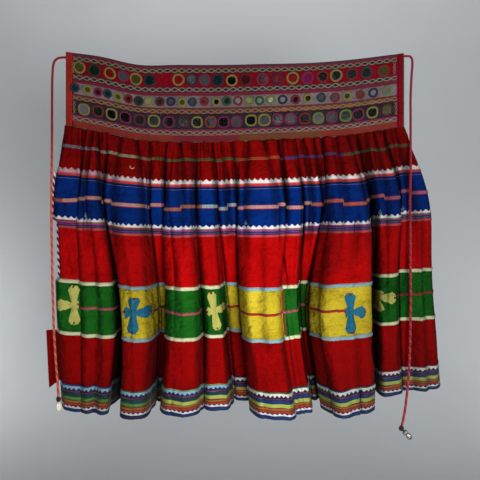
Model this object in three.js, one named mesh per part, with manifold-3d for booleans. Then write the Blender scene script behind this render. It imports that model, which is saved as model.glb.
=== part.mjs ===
// Banjara skirt: an embroidered waistband with a gathered, tiered skirt, opened out and held
// up by the two top corners of its waistband. Millimetres, +Z up, the front faces -Y, and the
// origin is the middle of the line between the two held corners.
import * as THREE from 'three';
import * as BufferGeometryUtils from 'three/addons/utils/BufferGeometryUtils.js';
import Module from 'manifold-3d';

// Driving sizes
const WAIST_HALF = 370;
const SEAM_GAP = 0.3;
const TIER_GAP = 0.4;
const COTTON = 1.6;
const APPLIQUE = 1.2;
const BAND_BACKING = 2.0;
const BAND_STRIP = 1.2;
const CORD_DIAMETER = 5.6;

// Depth of each piece below the waistband, measured down the cloth
const TIER = {
  waist: 0,
  upperTrim: 83,
  blue: 98,
  lowerTrim: 183,
  middleRed: 203,
  upperPiping: 307,
  patches: 314,
  lowerPiping: 409,
  lowerRed: 416,
  hemStripes: 512,
  hemBinding: 556,
  end: 566,
};

// Levels at which the fold table gives a section
const LEVEL = { waist: 0, blue: 142, patch: 362, hem: 566 };

// Waistband: places across, with the height of its top edge and of its lower edge
const WAISTBAND = [
  { across: -370, top: 2, base: -158 },
  { across: -296, top: -8, base: -173 },
  { across: -208, top: -27, base: -191 },
  { across: -120, top: -26, base: -196 },
  { across: 11, top: -26, base: -194 },
  { across: 142, top: -23, base: -188 },
  { across: 252, top: -15, base: -180 },
  { across: 370, top: -1, base: -162 },
];

// Rows of the waistband, as shares of its depth
const BAND_ROW = {
  mirrorsTop: { from: 0.11, to: 0.285 },
  mirrorsMiddle: { from: 0.40, to: 0.555 },
  mirrorsLow: { from: 0.64, to: 0.83 },
  baseStrip: { from: 0.915, to: 0.99 },
};

// Folds from left to right. Each row is one fold face: where its right side starts at the
// waist, its left and right sides at three levels, how far it stands out there, how deep the
// hidden fold after it goes back, how many pleats it holds at the waist, and its length.
const FOLDS = [
  { name: 'left edge', waist: -324, blue: [-394, -338], patch: [-384, -328], hem: [-369, -322],
    out: [10, 27, 34], behind: [-2, -18, -24], pleats: 1, length: 1.07 },
  { name: 'left', waist: -278, blue: [-332, -287], patch: [-320, -252], hem: [-315, -266],
    out: [20, 50, 55], behind: [8, 14, 16], pleats: 3, length: 1.05 },
  { name: 'second', waist: -186, blue: [-280, -187], patch: [-243, -167], hem: [-238, -172],
    out: [30, 65, 80], behind: [4, 5, 5], pleats: 3, length: 1.015 },
  { name: 'second recess', waist: -152, blue: [-183, -155], patch: [-163, -150], hem: [-168, -158],
    out: [6, 0, 0], behind: [4, 5, 5], pleats: 1, length: 1.002 },
  { name: 'third', waist: -90, blue: [-149, -87], patch: [-140, -69], hem: [-148, -65],
    out: [30, 65, 80], behind: [8, 4, -28], pleats: 2, length: 0.994 },
  { name: 'fourth', waist: -46, blue: [-80, -40], patch: [-61, -21], hem: [-57, -3],
    out: [20, 45, 55], behind: [4, 5, 5], pleats: 1, length: 0.994 },
  { name: 'fourth recess', waist: -5, blue: [-34, 2], patch: [-14, 9], hem: [3, 31],
    out: [6, 0, 0], behind: [4, 5, 5], pleats: 2, length: 0.998 },
  { name: 'fifth', waist: 92, blue: [9, 106], patch: [17, 94], hem: [38, 122],
    out: [30, 72, 90], behind: [-2, -58, -72], pleats: 3, length: 1.006 },
  { name: 'fifth, right side', waist: 127, blue: [113, 146], patch: [111, 138], hem: [138, 165],
    out: [22, 46, 60], behind: [4, 5, 5], pleats: 1, length: 1.009 },
  { name: 'fifth recess', waist: 170, blue: [152, 187], patch: [144, 154], hem: [171, 180],
    out: [5, 0, 0], behind: [4, 5, 5], pleats: 2, length: 1.01 },
  { name: 'sixth', waist: 265, blue: [194, 287], patch: [161, 285], hem: [187, 283],
    out: [30, 72, 88], behind: [18, 38, 42], pleats: 4, length: 1.01 },
  { name: 'seventh', waist: 322, blue: [301, 352], patch: [299, 344], hem: [303, 354],
    out: [22, 44, 44], behind: [-8, -30, -30], pleats: 2, length: 0.987 },
  { name: 'right edge', waist: 370, blue: [358, 414], patch: [352, 423], hem: [361, 438],
    out: [14, 38, 40], behind: [6, 22, 24], pleats: 2, length: 0.982 },
];
const KNOTS_A_FOLD = 7;
const LAST_FOLD = FOLDS.length;

// Pleats at the waist, which die out down the skirt
const PLEAT_DEPTH = 9;
const PLEAT_FULL_TO = 150;
const PLEAT_GONE_AT = 300;

// The plain red cloth at the left that reaches out behind the hem, with its width counted
// in folds
const LEFT_MARGIN = 0.42;
const LEFT_MARGIN_OUT = 34;
const LEFT_MARGIN_BACK = 20;
const LEFT_MARGIN_DROP = 5;
const LEFT_MARGIN_HEM_DROP = 27;

// The middle red tier's left end is turned in, beside the twisted edging: how far, and over
// what share of the first fold
const LEFT_END_IN = 12;
const LEFT_END_REACH = 0.3;

// Patches along the skirt: the folds that each covers
const PATCHES = [
  { colour: 'green', from: 0, to: 2 },
  { colour: 'yellow', from: 2, to: 4 },
  { colour: 'green', from: 4, to: 6 },
  { colour: 'yellow', from: 6, to: 8 },
  { colour: 'green', from: 8, to: 10 },
  { colour: 'yellow', from: 10, to: 11 },
  { colour: 'green', from: 11, to: LAST_FOLD },
];

// Four-petalled applique crosses: the patch that carries each, its centre, how far out of the
// fold it begins, reaches of its petals (right, top, left, bottom), its turn in radians, and a
// petal's half width
const CROSSES = [
  { colour: 'cream', patch: 0, across: -341, up: -545, begin: 14,
    reaches: [10, 40, 38, 41], turn: 0.04, half: 12.5 },
  { colour: 'light_blue', patch: 1, across: -206, up: -552, begin: 45,
    reaches: [31, 30, 19, 41], turn: -0.02, half: 12 },
  { colour: 'cream', patch: 2, across: -43, up: -553, begin: 30,
    reaches: [21, 38, 14, 41], turn: 0.18, half: 9 },
  { colour: 'light_blue', patch: 5, across: 236, up: -551, begin: 50,
    reaches: [31, 38, 11, 41], turn: 0, half: 12 },
  { colour: 'cream', patch: 6, across: 301, up: -527, begin: 32,
    reaches: [35, 14, 7, 30], turn: 0, half: 12.5 },
];

// Drawstring routes, from the waistband corner to the free end
const LEFT_CORD_ROUTE = [
  [-370.4, 0, -10], [-378, -1, -10.5], [-388, -4, -14], [-395, -6, -26], [-397, -8, -60], [-396, -12, -105],
  [-394, -18, -150], [-392, -24, -192], [-391, -28, -240], [-390, -33, -310], [-388, -38, -385],
  [-386, -40, -440], [-385, -41, -501], [-383, -42, -550], [-381, -43, -600], [-377, -44, -659],
  [-373, -45, -700], [-371, -45, -735],
];
const RIGHT_CORD_ROUTE = [
  [370.5, 0, -7.5], [377, -1, -7.5], [383, -4, -10], [386, -7, -22], [383, -9, -60], [380, -13, -105],
  [378, -20, -150], [376, -26, -200], [374, -32, -260], [371, -38, -321], [369, -46, -390],
  [367, -53, -460], [366, -57, -530], [365, -58, -600], [363, -59, -660], [360, -60, -697],
  [357, -60, -728], [353, -60, -760], [347, -60, -790],
];

// Curves through points

// Value of a smooth curve through four evenly spaced values, between the second and the third
function smoothBetween(before, start, end, after, share) {
  const slopeStart = (end - before) / 2;
  const slopeEnd = (after - start) / 2;
  const square = share * share;
  const cube = square * share;
  return start * (2 * cube - 3 * square + 1) + slopeStart * (cube - 2 * square + share)
    + end * (3 * square - 2 * cube) + slopeEnd * (cube - square);
}

// Value of a smooth curve through unevenly spaced places
function smoothThrough(places, values, place) {
  const last = places.length - 1;
  let index = 0;
  while (index < last - 1 && place > places[index + 1]) {
    index += 1;
  }
  const slopeAt = (k) => {
    const low = Math.max(0, k - 1);
    const high = Math.min(last, k + 1);
    return (values[high] - values[low]) / (places[high] - places[low]);
  };
  const span = places[index + 1] - places[index];
  const share = (place - places[index]) / span;
  const square = share * share;
  const cube = square * share;
  return values[index] * (2 * cube - 3 * square + 1)
    + slopeAt(index) * span * (cube - 2 * square + share)
    + values[index + 1] * (3 * square - 2 * cube)
    + slopeAt(index + 1) * span * (cube - square);
}

const mix = (a, b, share) => a + (b - a) * share;

function easeOff(value, start, end) {
  const share = Math.min(1, Math.max(0, (value - start) / (end - start)));
  return 1 - share * share * (3 - 2 * share);
}

// Waistband surface

const bandAcross = WAISTBAND.map((row) => row.across);
const bandTops = WAISTBAND.map((row) => row.top);
const bandBases = WAISTBAND.map((row) => row.base);
const bandBase = (across) => smoothThrough(bandAcross, bandBases, across);
const bandTop = (across) => smoothThrough(bandAcross, bandTops, across);

// The stiff band is almost flat, with three shallow waves between its held corners
const BAND_WAVE = 3;
function bandDepth(across) {
  const share = (across + WAIST_HALF) / (2 * WAIST_HALF);
  return BAND_WAVE * Math.sin(Math.PI * share) * Math.cos(5 * Math.PI * share);
}

function bandPoint(across, share) {
  const height = mix(bandTop(across), bandBase(across), share);
  return new THREE.Vector3(across, bandDepth(across), height);
}

// Skirt surface

// The seven knots of one fold at one level: in from the hidden fold on its left, over its
// rounded face and back into the hidden fold on its right
const SHOULDER = 0.16;
const FOLD_ROOT = 3.5;
const SIDE_DEPTH = 0.45;
const CROWN = 0.05;
const SHOULDER_CROWN = 0.02;
const EDGE_TURN = 14;
const RIGHT_EDGE_TURN = 12;

function foldKnots(index, level) {
  const key = ['blue', 'patch', 'hem'][level];
  const fold = FOLDS[index];
  const [left, right] = fold[key];
  const width = right - left;
  const face = -fold.out[level];
  const first = index === 0;
  const last = index === LAST_FOLD - 1;
  const backLeft = first ? face + EDGE_TURN : FOLDS[index - 1].behind[level];
  const backRight = fold.behind[level];
  const rootLeft = first ? left : (FOLDS[index - 1][key][1] + left) / 2 + FOLD_ROOT;
  const rootRight = last ? right - RIGHT_EDGE_TURN : (right + FOLDS[index + 1][key][0]) / 2 - FOLD_ROOT;
  return [
    [rootLeft, backLeft],
    [left, mix(face, backLeft, SIDE_DEPTH)],
    [left + SHOULDER * width, face - SHOULDER_CROWN * width],
    [(left + right) / 2, face - CROWN * width],
    [right - SHOULDER * width, face - SHOULDER_CROWN * width],
    [right, mix(face, backRight, SIDE_DEPTH)],
    [rootRight, backRight],
  ];
}

const knotsAtLevel = [0, 1, 2].map((level) => FOLDS.flatMap((fold, i) => foldKnots(i, level)));
const KNOT_COUNT = KNOTS_A_FOLD * LAST_FOLD;

// One fold is one unit of the place along the skirt
function splineAt(knots, place) {
  const exact = Math.min(Math.max(place, 0), LAST_FOLD) * (KNOT_COUNT - 1) / LAST_FOLD;
  const index = Math.min(Math.floor(exact), KNOT_COUNT - 2);
  const share = exact - index;
  const pick = (k) => knots[Math.min(Math.max(k, 0), KNOT_COUNT - 1)];
  const [a, b, c, d] = [pick(index - 1), pick(index), pick(index + 1), pick(index + 2)];
  return [0, 1].map((axis) => smoothBetween(a[axis], b[axis], c[axis], d[axis], share));
}

const foldEdges = [0, ...FOLDS.map((fold, index) => index + 1)];
const waistPlaces = [-WAIST_HALF, ...FOLDS.map((fold) => fold.waist)];
const foldMiddles = FOLDS.map((fold, index) => index + 0.5);
const foldLengths = FOLDS.map((fold) => fold.length);
const levelDepths = [LEVEL.waist, LEVEL.blue, LEVEL.patch, LEVEL.hem];

const waistAt = (place) => smoothThrough(foldEdges, waistPlaces, place);

function lengthAt(place) {
  const inside = Math.min(Math.max(place, foldMiddles[0]), foldMiddles[LAST_FOLD - 1]);
  return smoothThrough(foldMiddles, foldLengths, inside);
}

// Each pleat's own depth, as a share of the usual one
const PLEAT_LEAST = 0.7;
const PLEAT_RANGE = 0.6;
const SCATTER_TURN = 12.9898;
const SCATTER_SPREAD = 43.7585;
function pleatStrength(number) {
  const wave = Math.sin(number * SCATTER_TURN) * SCATTER_SPREAD;
  return PLEAT_LEAST + PLEAT_RANGE * (wave - Math.floor(wave));
}

const pleatStarts = FOLDS.map((fold, i) => FOLDS.slice(0, i).reduce((sum, f) => sum + f.pleats, 0));

function pleatOut(place, depth) {
  const fold = Math.min(Math.floor(place), LAST_FOLD - 1);
  const along = (place - fold) * FOLDS[fold].pleats;
  const number = pleatStarts[fold] + Math.min(Math.floor(along), FOLDS[fold].pleats - 1);
  const shape = Math.sin(Math.PI * along) ** 2;
  const fading = easeOff(depth, PLEAT_FULL_TO, PLEAT_GONE_AT);
  return PLEAT_DEPTH * pleatStrength(number) * shape * fading;
}

function leftEndIn(place, depth) {
  const turned = (1 - easeOff(depth, TIER.lowerTrim, TIER.middleRed))
    * easeOff(depth, TIER.upperPiping, TIER.patches);
  return LEFT_END_IN * turned * Math.exp(-((place / LEFT_END_REACH) ** 2));
}

// The skirt's middle surface. The place counts folds from the left edge, and the depth is
// measured down the cloth from the waistband.
function skirtPoint(place, depth) {
  const inside = Math.min(Math.max(place, 0), LAST_FOLD);
  const waist = waistAt(inside);
  const sections = knotsAtLevel.map((knots) => splineAt(knots, inside));
  const acrossValues = [waist, ...sections.map((point) => point[0])];
  const outValues = [bandDepth(waist), ...sections.map((point) => point[1])];
  const across = smoothThrough(levelDepths, acrossValues, depth) + leftEndIn(inside, depth);
  const out = smoothThrough(levelDepths, outValues, depth) - pleatOut(inside, depth);
  const height = bandBase(waist) - SEAM_GAP - depth * lengthAt(inside);
  return new THREE.Vector3(across, out, height);
}

// The lower red tier also has a plain margin that turns out behind the left edge
function lowerRedPoint(place, depth) {
  if (place >= 0) {
    return skirtPoint(place, depth);
  }
  const edge = skirtPoint(0, depth);
  const share = -place / LEFT_MARGIN;
  const down = (depth - TIER.lowerRed) / (TIER.hemStripes - TIER.lowerRed);
  edge.x -= LEFT_MARGIN_OUT * share;
  edge.z -= mix(LEFT_MARGIN_DROP, LEFT_MARGIN_HEM_DROP, down) * share;
  edge.y += LEFT_MARGIN_BACK * Math.sin(share * Math.PI / 2);
  return edge;
}

// Solids

// How far past its ends a wall looks for its direction there
const END_STEP = 0.07;

// Closed wall on a grid of places and depths: its points are moved out level, square to the
// section, by offset for the inner face and by offset + thickness for the outer one, so pieces
// that meet at a seam stay clear of each other
function wallGeometry(surface, places, depths, offset, thickness) {
  const columns = places.length;
  const rows = depths.length;
  const grid = depths.map((depth) => places.map((place) => surface(place, depth)));
  const firstPlaces = depths.map((depth) => surface(places[0] - END_STEP, depth));
  const lastPlaces = depths.map((depth) => surface(places[columns - 1] + END_STEP, depth));
  const outer = [];
  const inner = [];
  for (let j = 0; j < rows; j += 1) {
    for (let i = 0; i < columns; i += 1) {
      const before = i > 0 ? grid[j][i - 1] : firstPlaces[j];
      const after = i < columns - 1 ? grid[j][i + 1] : lastPlaces[j];
      const sideways = after.clone().sub(before);
      const normal = new THREE.Vector3(sideways.y, -sideways.x, 0).normalize();
      inner.push(grid[j][i].clone().addScaledVector(normal, offset));
      outer.push(grid[j][i].clone().addScaledVector(normal, offset + thickness));
    }
  }
  const positions = [...outer, ...inner].flatMap((point) => point.toArray());
  const at = (i, j) => j * columns + i;
  const behind = outer.length;
  const triangles = [];
  for (let j = 0; j < rows - 1; j += 1) {
    for (let i = 0; i < columns - 1; i += 1) {
      const corners = [at(i, j), at(i, j + 1), at(i + 1, j + 1), at(i + 1, j)];
      const [a, b, c, d] = corners;
      const [e, f, g, h] = corners.map((corner) => corner + behind);
      triangles.push(a, b, c, a, c, d, e, g, f, e, h, g);
    }
  }
  const rim = [];
  for (let j = 0; j < rows - 1; j += 1) {
    rim.push([at(0, j), at(0, j + 1)]);
    rim.push([at(columns - 1, j + 1), at(columns - 1, j)]);
  }
  for (let i = 0; i < columns - 1; i += 1) {
    rim.push([at(i, rows - 1), at(i + 1, rows - 1)]);
    rim.push([at(i + 1, 0), at(i, 0)]);
  }
  for (const [a, b] of rim) {
    triangles.push(b, a, a + behind, b, a + behind, b + behind);
  }
  const geometry = new THREE.BufferGeometry();
  geometry.setAttribute('position', new THREE.Float32BufferAttribute(positions, 3));
  geometry.setIndex(triangles);
  return geometry;
}

// Evenly spaced values from start to end
function steps(start, end, count) {
  return Array.from({ length: count + 1 }, (item, k) => mix(start, end, k / count));
}

// Columns of the pleated tiers, and of the tiers below where only the large folds are left
const COLUMNS_A_PLEAT = 5;
const pleatedPlaces = [0, ...FOLDS.flatMap((fold, i) => {
  const count = Math.max(KNOTS_A_FOLD - 1, COLUMNS_A_PLEAT * fold.pleats);
  return steps(i, i + 1, count).slice(1);
})];
const foldedPlaces = steps(0, LAST_FOLD, KNOT_COUNT - 1);

// Columns of a piece that covers some of the folds, a hair short of its neighbours
const PIECE_TRIM = 0.004;
const NEAR_END = 0.03;
function placesBetween(from, to) {
  const inside = foldedPlaces.filter((place) => place > from + NEAR_END && place < to - NEAR_END);
  const start = from === 0 ? from : from + PIECE_TRIM;
  const end = to === LAST_FOLD ? to : to - PIECE_TRIM;
  return [start, ...inside, end];
}

// A tier's depths, from its own top to just above the next piece
function tierDepths(top, bottom, count) {
  const start = top === TIER.waist ? top : top + TIER_GAP / 2;
  const end = bottom === TIER.end ? bottom : bottom - TIER_GAP / 2;
  return steps(start, end, count);
}

const group = new THREE.Group();

const colours = {
  red: 0xa81620,
  blue: 0x0b3a7a,
  green: 0x1d5c28,
  yellow: 0xc9b13c,
  cream: 0xcfc79a,
  lightBlue: 0x3d7f9e,
  white: 0xe2dccb,
  crimson: 0x7c1226,
  lilac: 0xb9a8a6,
  navy: 0x1a2048,
  magenta: 0x9c1f58,
  orange: 0xb0432b,
  shell: 0xe8e2d4,
  silver: 0x9a9a9c,
  black: 0x1b1a1c,
};

function cloth(name) {
  return new THREE.MeshStandardMaterial({ color: colours[name], roughness: 0.9, metalness: 0 });
}

function addMesh(name, geometry, material) {
  const mesh = new THREE.Mesh(geometry, material);
  mesh.name = name;
  group.add(mesh);
  return mesh;
}

function addTier(name, surface, places, depths, colour) {
  const geometry = wallGeometry(surface, places, depths, -COTTON / 2, COTTON);
  addMesh(name, geometry, cloth(colour));
}

// Tiers of the skirt
addTier('upper_red_tier', skirtPoint, pleatedPlaces,
  tierDepths(TIER.waist, TIER.upperTrim, 3), 'red');
addTier('upper_trim', skirtPoint, pleatedPlaces,
  tierDepths(TIER.upperTrim, TIER.blue, 1), 'white');
addTier('blue_tier', skirtPoint, pleatedPlaces,
  tierDepths(TIER.blue, TIER.lowerTrim, 3), 'blue');
addTier('lower_trim', skirtPoint, pleatedPlaces,
  tierDepths(TIER.lowerTrim, TIER.middleRed, 1), 'magenta');
// Where the columns change, a seam is a little wider
const COLUMN_CHANGE = 0.15;
addTier('middle_red_tier', skirtPoint, foldedPlaces,
  tierDepths(TIER.middleRed + COLUMN_CHANGE, TIER.upperPiping, 3), 'red');
addTier('upper_piping', skirtPoint, foldedPlaces,
  tierDepths(TIER.upperPiping, TIER.patches, 1), 'cream');
const patchDepths = tierDepths(TIER.patches + COLUMN_CHANGE, TIER.lowerPiping - COLUMN_CHANGE, 2);
PATCHES.forEach((patch, index) => {
  const name = `${patch.colour}_patch_${index + 1}`;
  const places = placesBetween(patch.from, patch.to);
  addTier(name, skirtPoint, places, patchDepths, patch.colour);
});
addTier('lower_piping', skirtPoint, foldedPlaces,
  tierDepths(TIER.lowerPiping, TIER.lowerRed, 1), 'cream');
addTier('lower_red_tier', lowerRedPoint, [...steps(-LEFT_MARGIN, 0, 3).slice(0, 3), ...foldedPlaces],
  tierDepths(TIER.lowerRed, TIER.hemStripes, 2), 'red');
addTier('hem_stripes', skirtPoint, foldedPlaces,
  tierDepths(TIER.hemStripes, TIER.hemBinding, 1), 'yellow');
addTier('hem_binding', skirtPoint, foldedPlaces,
  tierDepths(TIER.hemBinding, TIER.end, 1), 'navy');

// Waistband
const END_BINDING = 14;
const backingPlaces = steps(-WAIST_HALF + END_BINDING, WAIST_HALF - END_BINDING, 28);

function addBandStrip(name, row, colour) {
  const offset = BAND_BACKING / 2 + SEAM_GAP;
  const inset = 3;
  const first = backingPlaces[0] + inset;
  const last = backingPlaces[backingPlaces.length - 1] - inset;
  const places = [first, ...backingPlaces.slice(1, -1), last];
  const geometry = wallGeometry(bandPoint, places, [row.from, row.to], offset, BAND_STRIP);
  addMesh(name, geometry, cloth(colour));
}

const backing = wallGeometry(bandPoint, backingPlaces, [0, 1], -BAND_BACKING / 2, BAND_BACKING);
addMesh('waistband_backing', backing, cloth('magenta'));
addBandStrip('top_mirror_strip', BAND_ROW.mirrorsTop, 'crimson');
addBandStrip('middle_mirror_strip', BAND_ROW.mirrorsMiddle, 'lilac');
addBandStrip('low_mirror_strip', BAND_ROW.mirrorsLow, 'navy');
addBandStrip('waistband_base_strip', BAND_ROW.baseStrip, 'orange');

// The folded binding at each end of the waistband is a little thicker than the band
const BINDING_THICKNESS = 4.2;
function addEndBinding(name, from, to, colour) {
  const geometry = wallGeometry(bandPoint, steps(from, to, 2), [0, 1],
    -BINDING_THICKNESS / 2, BINDING_THICKNESS);
  addMesh(name, geometry, cloth(colour));
}
addEndBinding('left_end_binding', -WAIST_HALF, -WAIST_HALF + END_BINDING - SEAM_GAP, 'orange');
addEndBinding('right_end_binding', WAIST_HALF - END_BINDING + SEAM_GAP, WAIST_HALF, 'crimson');

// Applique crosses: a cross outline cut from a wall that lies just outside its patch
const MERGE_TOLERANCE = 1e-4;
const wasm = await Module();
wasm.setup();

function toManifold(geometry) {
  const bare = new THREE.BufferGeometry();
  bare.setAttribute('position', geometry.getAttribute('position').clone());
  if (geometry.getIndex()) {
    bare.setIndex(geometry.getIndex().clone());
  }
  const merged = BufferGeometryUtils.mergeVertices(bare, MERGE_TOLERANCE);
  return new wasm.Manifold(new wasm.Mesh({
    numProp: 3,
    vertProperties: new Float32Array(merged.getAttribute('position').array),
    triVerts: new Uint32Array(merged.getIndex().array),
  }));
}

function fromManifold(solid) {
  const mesh = solid.getMesh();
  const geometry = new THREE.BufferGeometry();
  geometry.setAttribute('position', new THREE.Float32BufferAttribute(mesh.vertProperties, 3));
  geometry.setIndex(Array.from(mesh.triVerts));
  return geometry;
}

// Four blunt petals that meet at a narrow middle. Each is widest at a share of its reach, and
// its tip is a share of that width.
const PETAL_WAIST = 5.5;
const PETAL_WIDEST = 0.8;
const PETAL_TIP = 0.55;
function crossOutline(cross) {
  const shape = new THREE.Shape();
  const points = [];
  cross.reaches.forEach((reach, quarter) => {
    const turn = cross.turn + quarter * Math.PI / 2;
    const widest = Math.max(PETAL_WIDEST * reach, PETAL_WAIST);
    const half = Math.min(cross.half, widest + 2);
    const tip = PETAL_TIP * half;
    const petal = [[PETAL_WAIST, -PETAL_WAIST], [widest, -half], [reach, -tip], [reach, tip], [widest, half]];
    for (const [along, side] of petal) {
      points.push(new THREE.Vector2(along * Math.cos(turn) - side * Math.sin(turn),
        along * Math.sin(turn) + side * Math.cos(turn)));
    }
  });
  shape.setFromPoints(points);
  return shape;
}

const CUTTER_DEPTH = 120;
CROSSES.forEach((cross, index) => {
  const patch = PATCHES[cross.patch];
  const places = placesBetween(patch.from, patch.to);
  const skin = wallGeometry(skirtPoint, places, patchDepths, COTTON / 2 + SEAM_GAP, APPLIQUE);
  const outline = new THREE.ExtrudeGeometry(crossOutline(cross),
    { depth: CUTTER_DEPTH, bevelEnabled: false });
  outline.rotateX(Math.PI / 2);
  outline.translate(cross.across, -cross.begin, cross.up);
  const piece = toManifold(skin).intersect(toManifold(outline));
  addMesh(`${cross.colour}_cross_${index + 1}`, fromManifold(piece),
    cloth(cross.colour === 'cream' ? 'cream' : 'lightBlue'));
});

// Twisted edging sewn along the left side
const EDGING_RADIUS = 3;
const EDGING_CLEARANCE = 1.9;
const EDGING_SIDES = 6;
function sidedCircle(radius, sides) {
  const points = steps(0, 2 * Math.PI, sides).slice(0, sides);
  return new THREE.Shape(points.map((a) => new THREE.Vector2(
    radius * Math.cos(a), radius * Math.sin(a))));
}

function addTube(name, route, radius, sides, count, material) {
  const path = new THREE.CatmullRomCurve3(route.map((point) => new THREE.Vector3(...point)));
  const geometry = new THREE.ExtrudeGeometry(sidedCircle(radius, sides),
    { steps: count, extrudePath: path });
  addMesh(name, geometry, material);
  return path;
}

const edgingRoute = steps(TIER.blue, TIER.upperPiping, 14).map((depth) => {
  const edge = skirtPoint(0, depth);
  return [edge.x - EDGING_RADIUS - EDGING_CLEARANCE, edge.y, edge.z];
});
addTube('left_twisted_edging', edgingRoute, EDGING_RADIUS, EDGING_SIDES, 28, cloth('white'));

// Drawstrings with their end pieces
const CORD_SIDES = 8;
const CORD_STEPS = 44;
addTube('left_drawstring', LEFT_CORD_ROUTE, CORD_DIAMETER / 2, CORD_SIDES, CORD_STEPS,
  cloth('crimson'));
addTube('right_drawstring', RIGHT_CORD_ROUTE, CORD_DIAMETER / 2, CORD_SIDES, CORD_STEPS,
  cloth('crimson'));

// Turned piece from a profile of radii and heights, which starts and ends on its axis
function turned(profile, sides) {
  const points = profile.map(([radius, height]) => new THREE.Vector2(radius, height));
  const geometry = new THREE.LatheGeometry(points, sides);
  geometry.rotateX(Math.PI / 2);
  return geometry;
}

const KNOT_PROFILE = [[0, -5], [4, -4], [5, 0], [4, 4], [0, 5]];
const SHELL_PROFILE = [[0, -9.5], [4, -8], [6.5, -2], [6, 4], [3.5, 8.5], [0, 9.5]];
const BEAD_PROFILE = [[0, -5], [4, -4], [5, 0], [4, 4], [0, 5]];
const CHARM_PROFILE = [[0, -12], [4, -11], [6, -5], [4.5, 2], [6, 7], [3, 11], [0, 12]];
const ROUND_REACH = 5;
const END_PIECE_SIDES = 10;

// An end piece hangs a seam gap past the place where what holds it ends, along its own line
// of hang. The function gives its centre.
function addEndPiece(name, profile, holder, holderReach, hang, material) {
  const half = profile[profile.length - 1][1];
  const mesh = addMesh(name, turned(profile, END_PIECE_SIDES), material);
  const direction = new THREE.Vector3(Math.sin(hang), 0, -Math.cos(hang));
  mesh.position.copy(holder).addScaledVector(direction, holderReach + SEAM_GAP + half);
  mesh.rotation.y = -hang;
  return mesh.position;
}

const lastPoint = (route) => new THREE.Vector3(...route[route.length - 1]);
const shell = new THREE.MeshStandardMaterial({ color: colours.shell, roughness: 0.35 });
const silver = new THREE.MeshStandardMaterial(
  { color: colours.silver, roughness: 0.35, metalness: 0.9 });
const LEFT_HANG = 0.05;
const RIGHT_HANG = -0.2;
const CHARM_HANG = 0.75;
const knotCentre = addEndPiece('left_end_knot', KNOT_PROFILE, lastPoint(LEFT_CORD_ROUTE), 0,
  LEFT_HANG, cloth('black'));
addEndPiece('left_end_shell', SHELL_PROFILE, knotCentre, ROUND_REACH, LEFT_HANG, shell);
const beadCentre = addEndPiece('right_end_bead', BEAD_PROFILE, lastPoint(RIGHT_CORD_ROUTE), 0,
  RIGHT_HANG, cloth('black'));
addEndPiece('right_end_charm', CHARM_PROFILE, beadCentre, ROUND_REACH, CHARM_HANG, silver);

export default group;
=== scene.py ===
"""Banjara skirt, held up by the two top corners of its waistband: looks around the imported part.

Sizes in this script are millimetres until a mesh is made, which takes metres.
The skirt's cloth is placed by two numbers: its place, which counts folds from the left edge,
and its depth, which is measured down the cloth from the waistband.
"""

import math

import bpy
import numpy as np
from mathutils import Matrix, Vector


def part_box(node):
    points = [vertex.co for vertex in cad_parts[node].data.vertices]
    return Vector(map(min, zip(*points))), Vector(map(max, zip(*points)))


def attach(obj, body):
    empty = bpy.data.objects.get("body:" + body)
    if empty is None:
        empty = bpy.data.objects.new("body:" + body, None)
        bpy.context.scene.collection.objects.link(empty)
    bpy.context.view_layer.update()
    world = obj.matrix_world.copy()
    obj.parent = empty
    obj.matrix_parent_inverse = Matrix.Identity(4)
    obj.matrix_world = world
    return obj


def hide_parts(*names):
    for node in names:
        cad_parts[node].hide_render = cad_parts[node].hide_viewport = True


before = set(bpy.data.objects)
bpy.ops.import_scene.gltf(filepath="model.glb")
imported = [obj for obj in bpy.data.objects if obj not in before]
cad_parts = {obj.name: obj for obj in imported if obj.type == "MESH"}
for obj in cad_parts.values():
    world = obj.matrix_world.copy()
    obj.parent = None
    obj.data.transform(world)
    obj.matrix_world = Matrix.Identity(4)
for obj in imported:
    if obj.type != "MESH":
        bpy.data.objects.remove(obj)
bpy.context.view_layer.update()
random = np.random.default_rng(7)

MM = 0.001

# Sizes shared with the part
WAIST_HALF = 370.0
SEAM_GAP = 0.3
TIER = {
    "waist": 0, "upper_trim": 83, "blue": 98, "lower_trim": 183, "middle_red": 203,
    "upper_piping": 307, "patches": 314, "lower_piping": 409, "lower_red": 416,
    "hem_stripes": 512, "hem_binding": 556, "end": 566,
}
LEVELS = (0.0, 142.0, 362.0, 566.0)

# Waistband: places across, heights of its top edge and of its lower edge
BAND_ACROSS = (-370, -296, -208, -120, 11, 142, 252, 370)
BAND_TOPS = (2, -8, -27, -26, -26, -23, -15, -1)
BAND_BASES = (-158, -173, -191, -196, -194, -188, -180, -162)
BAND_WAVE = 3.0

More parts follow.
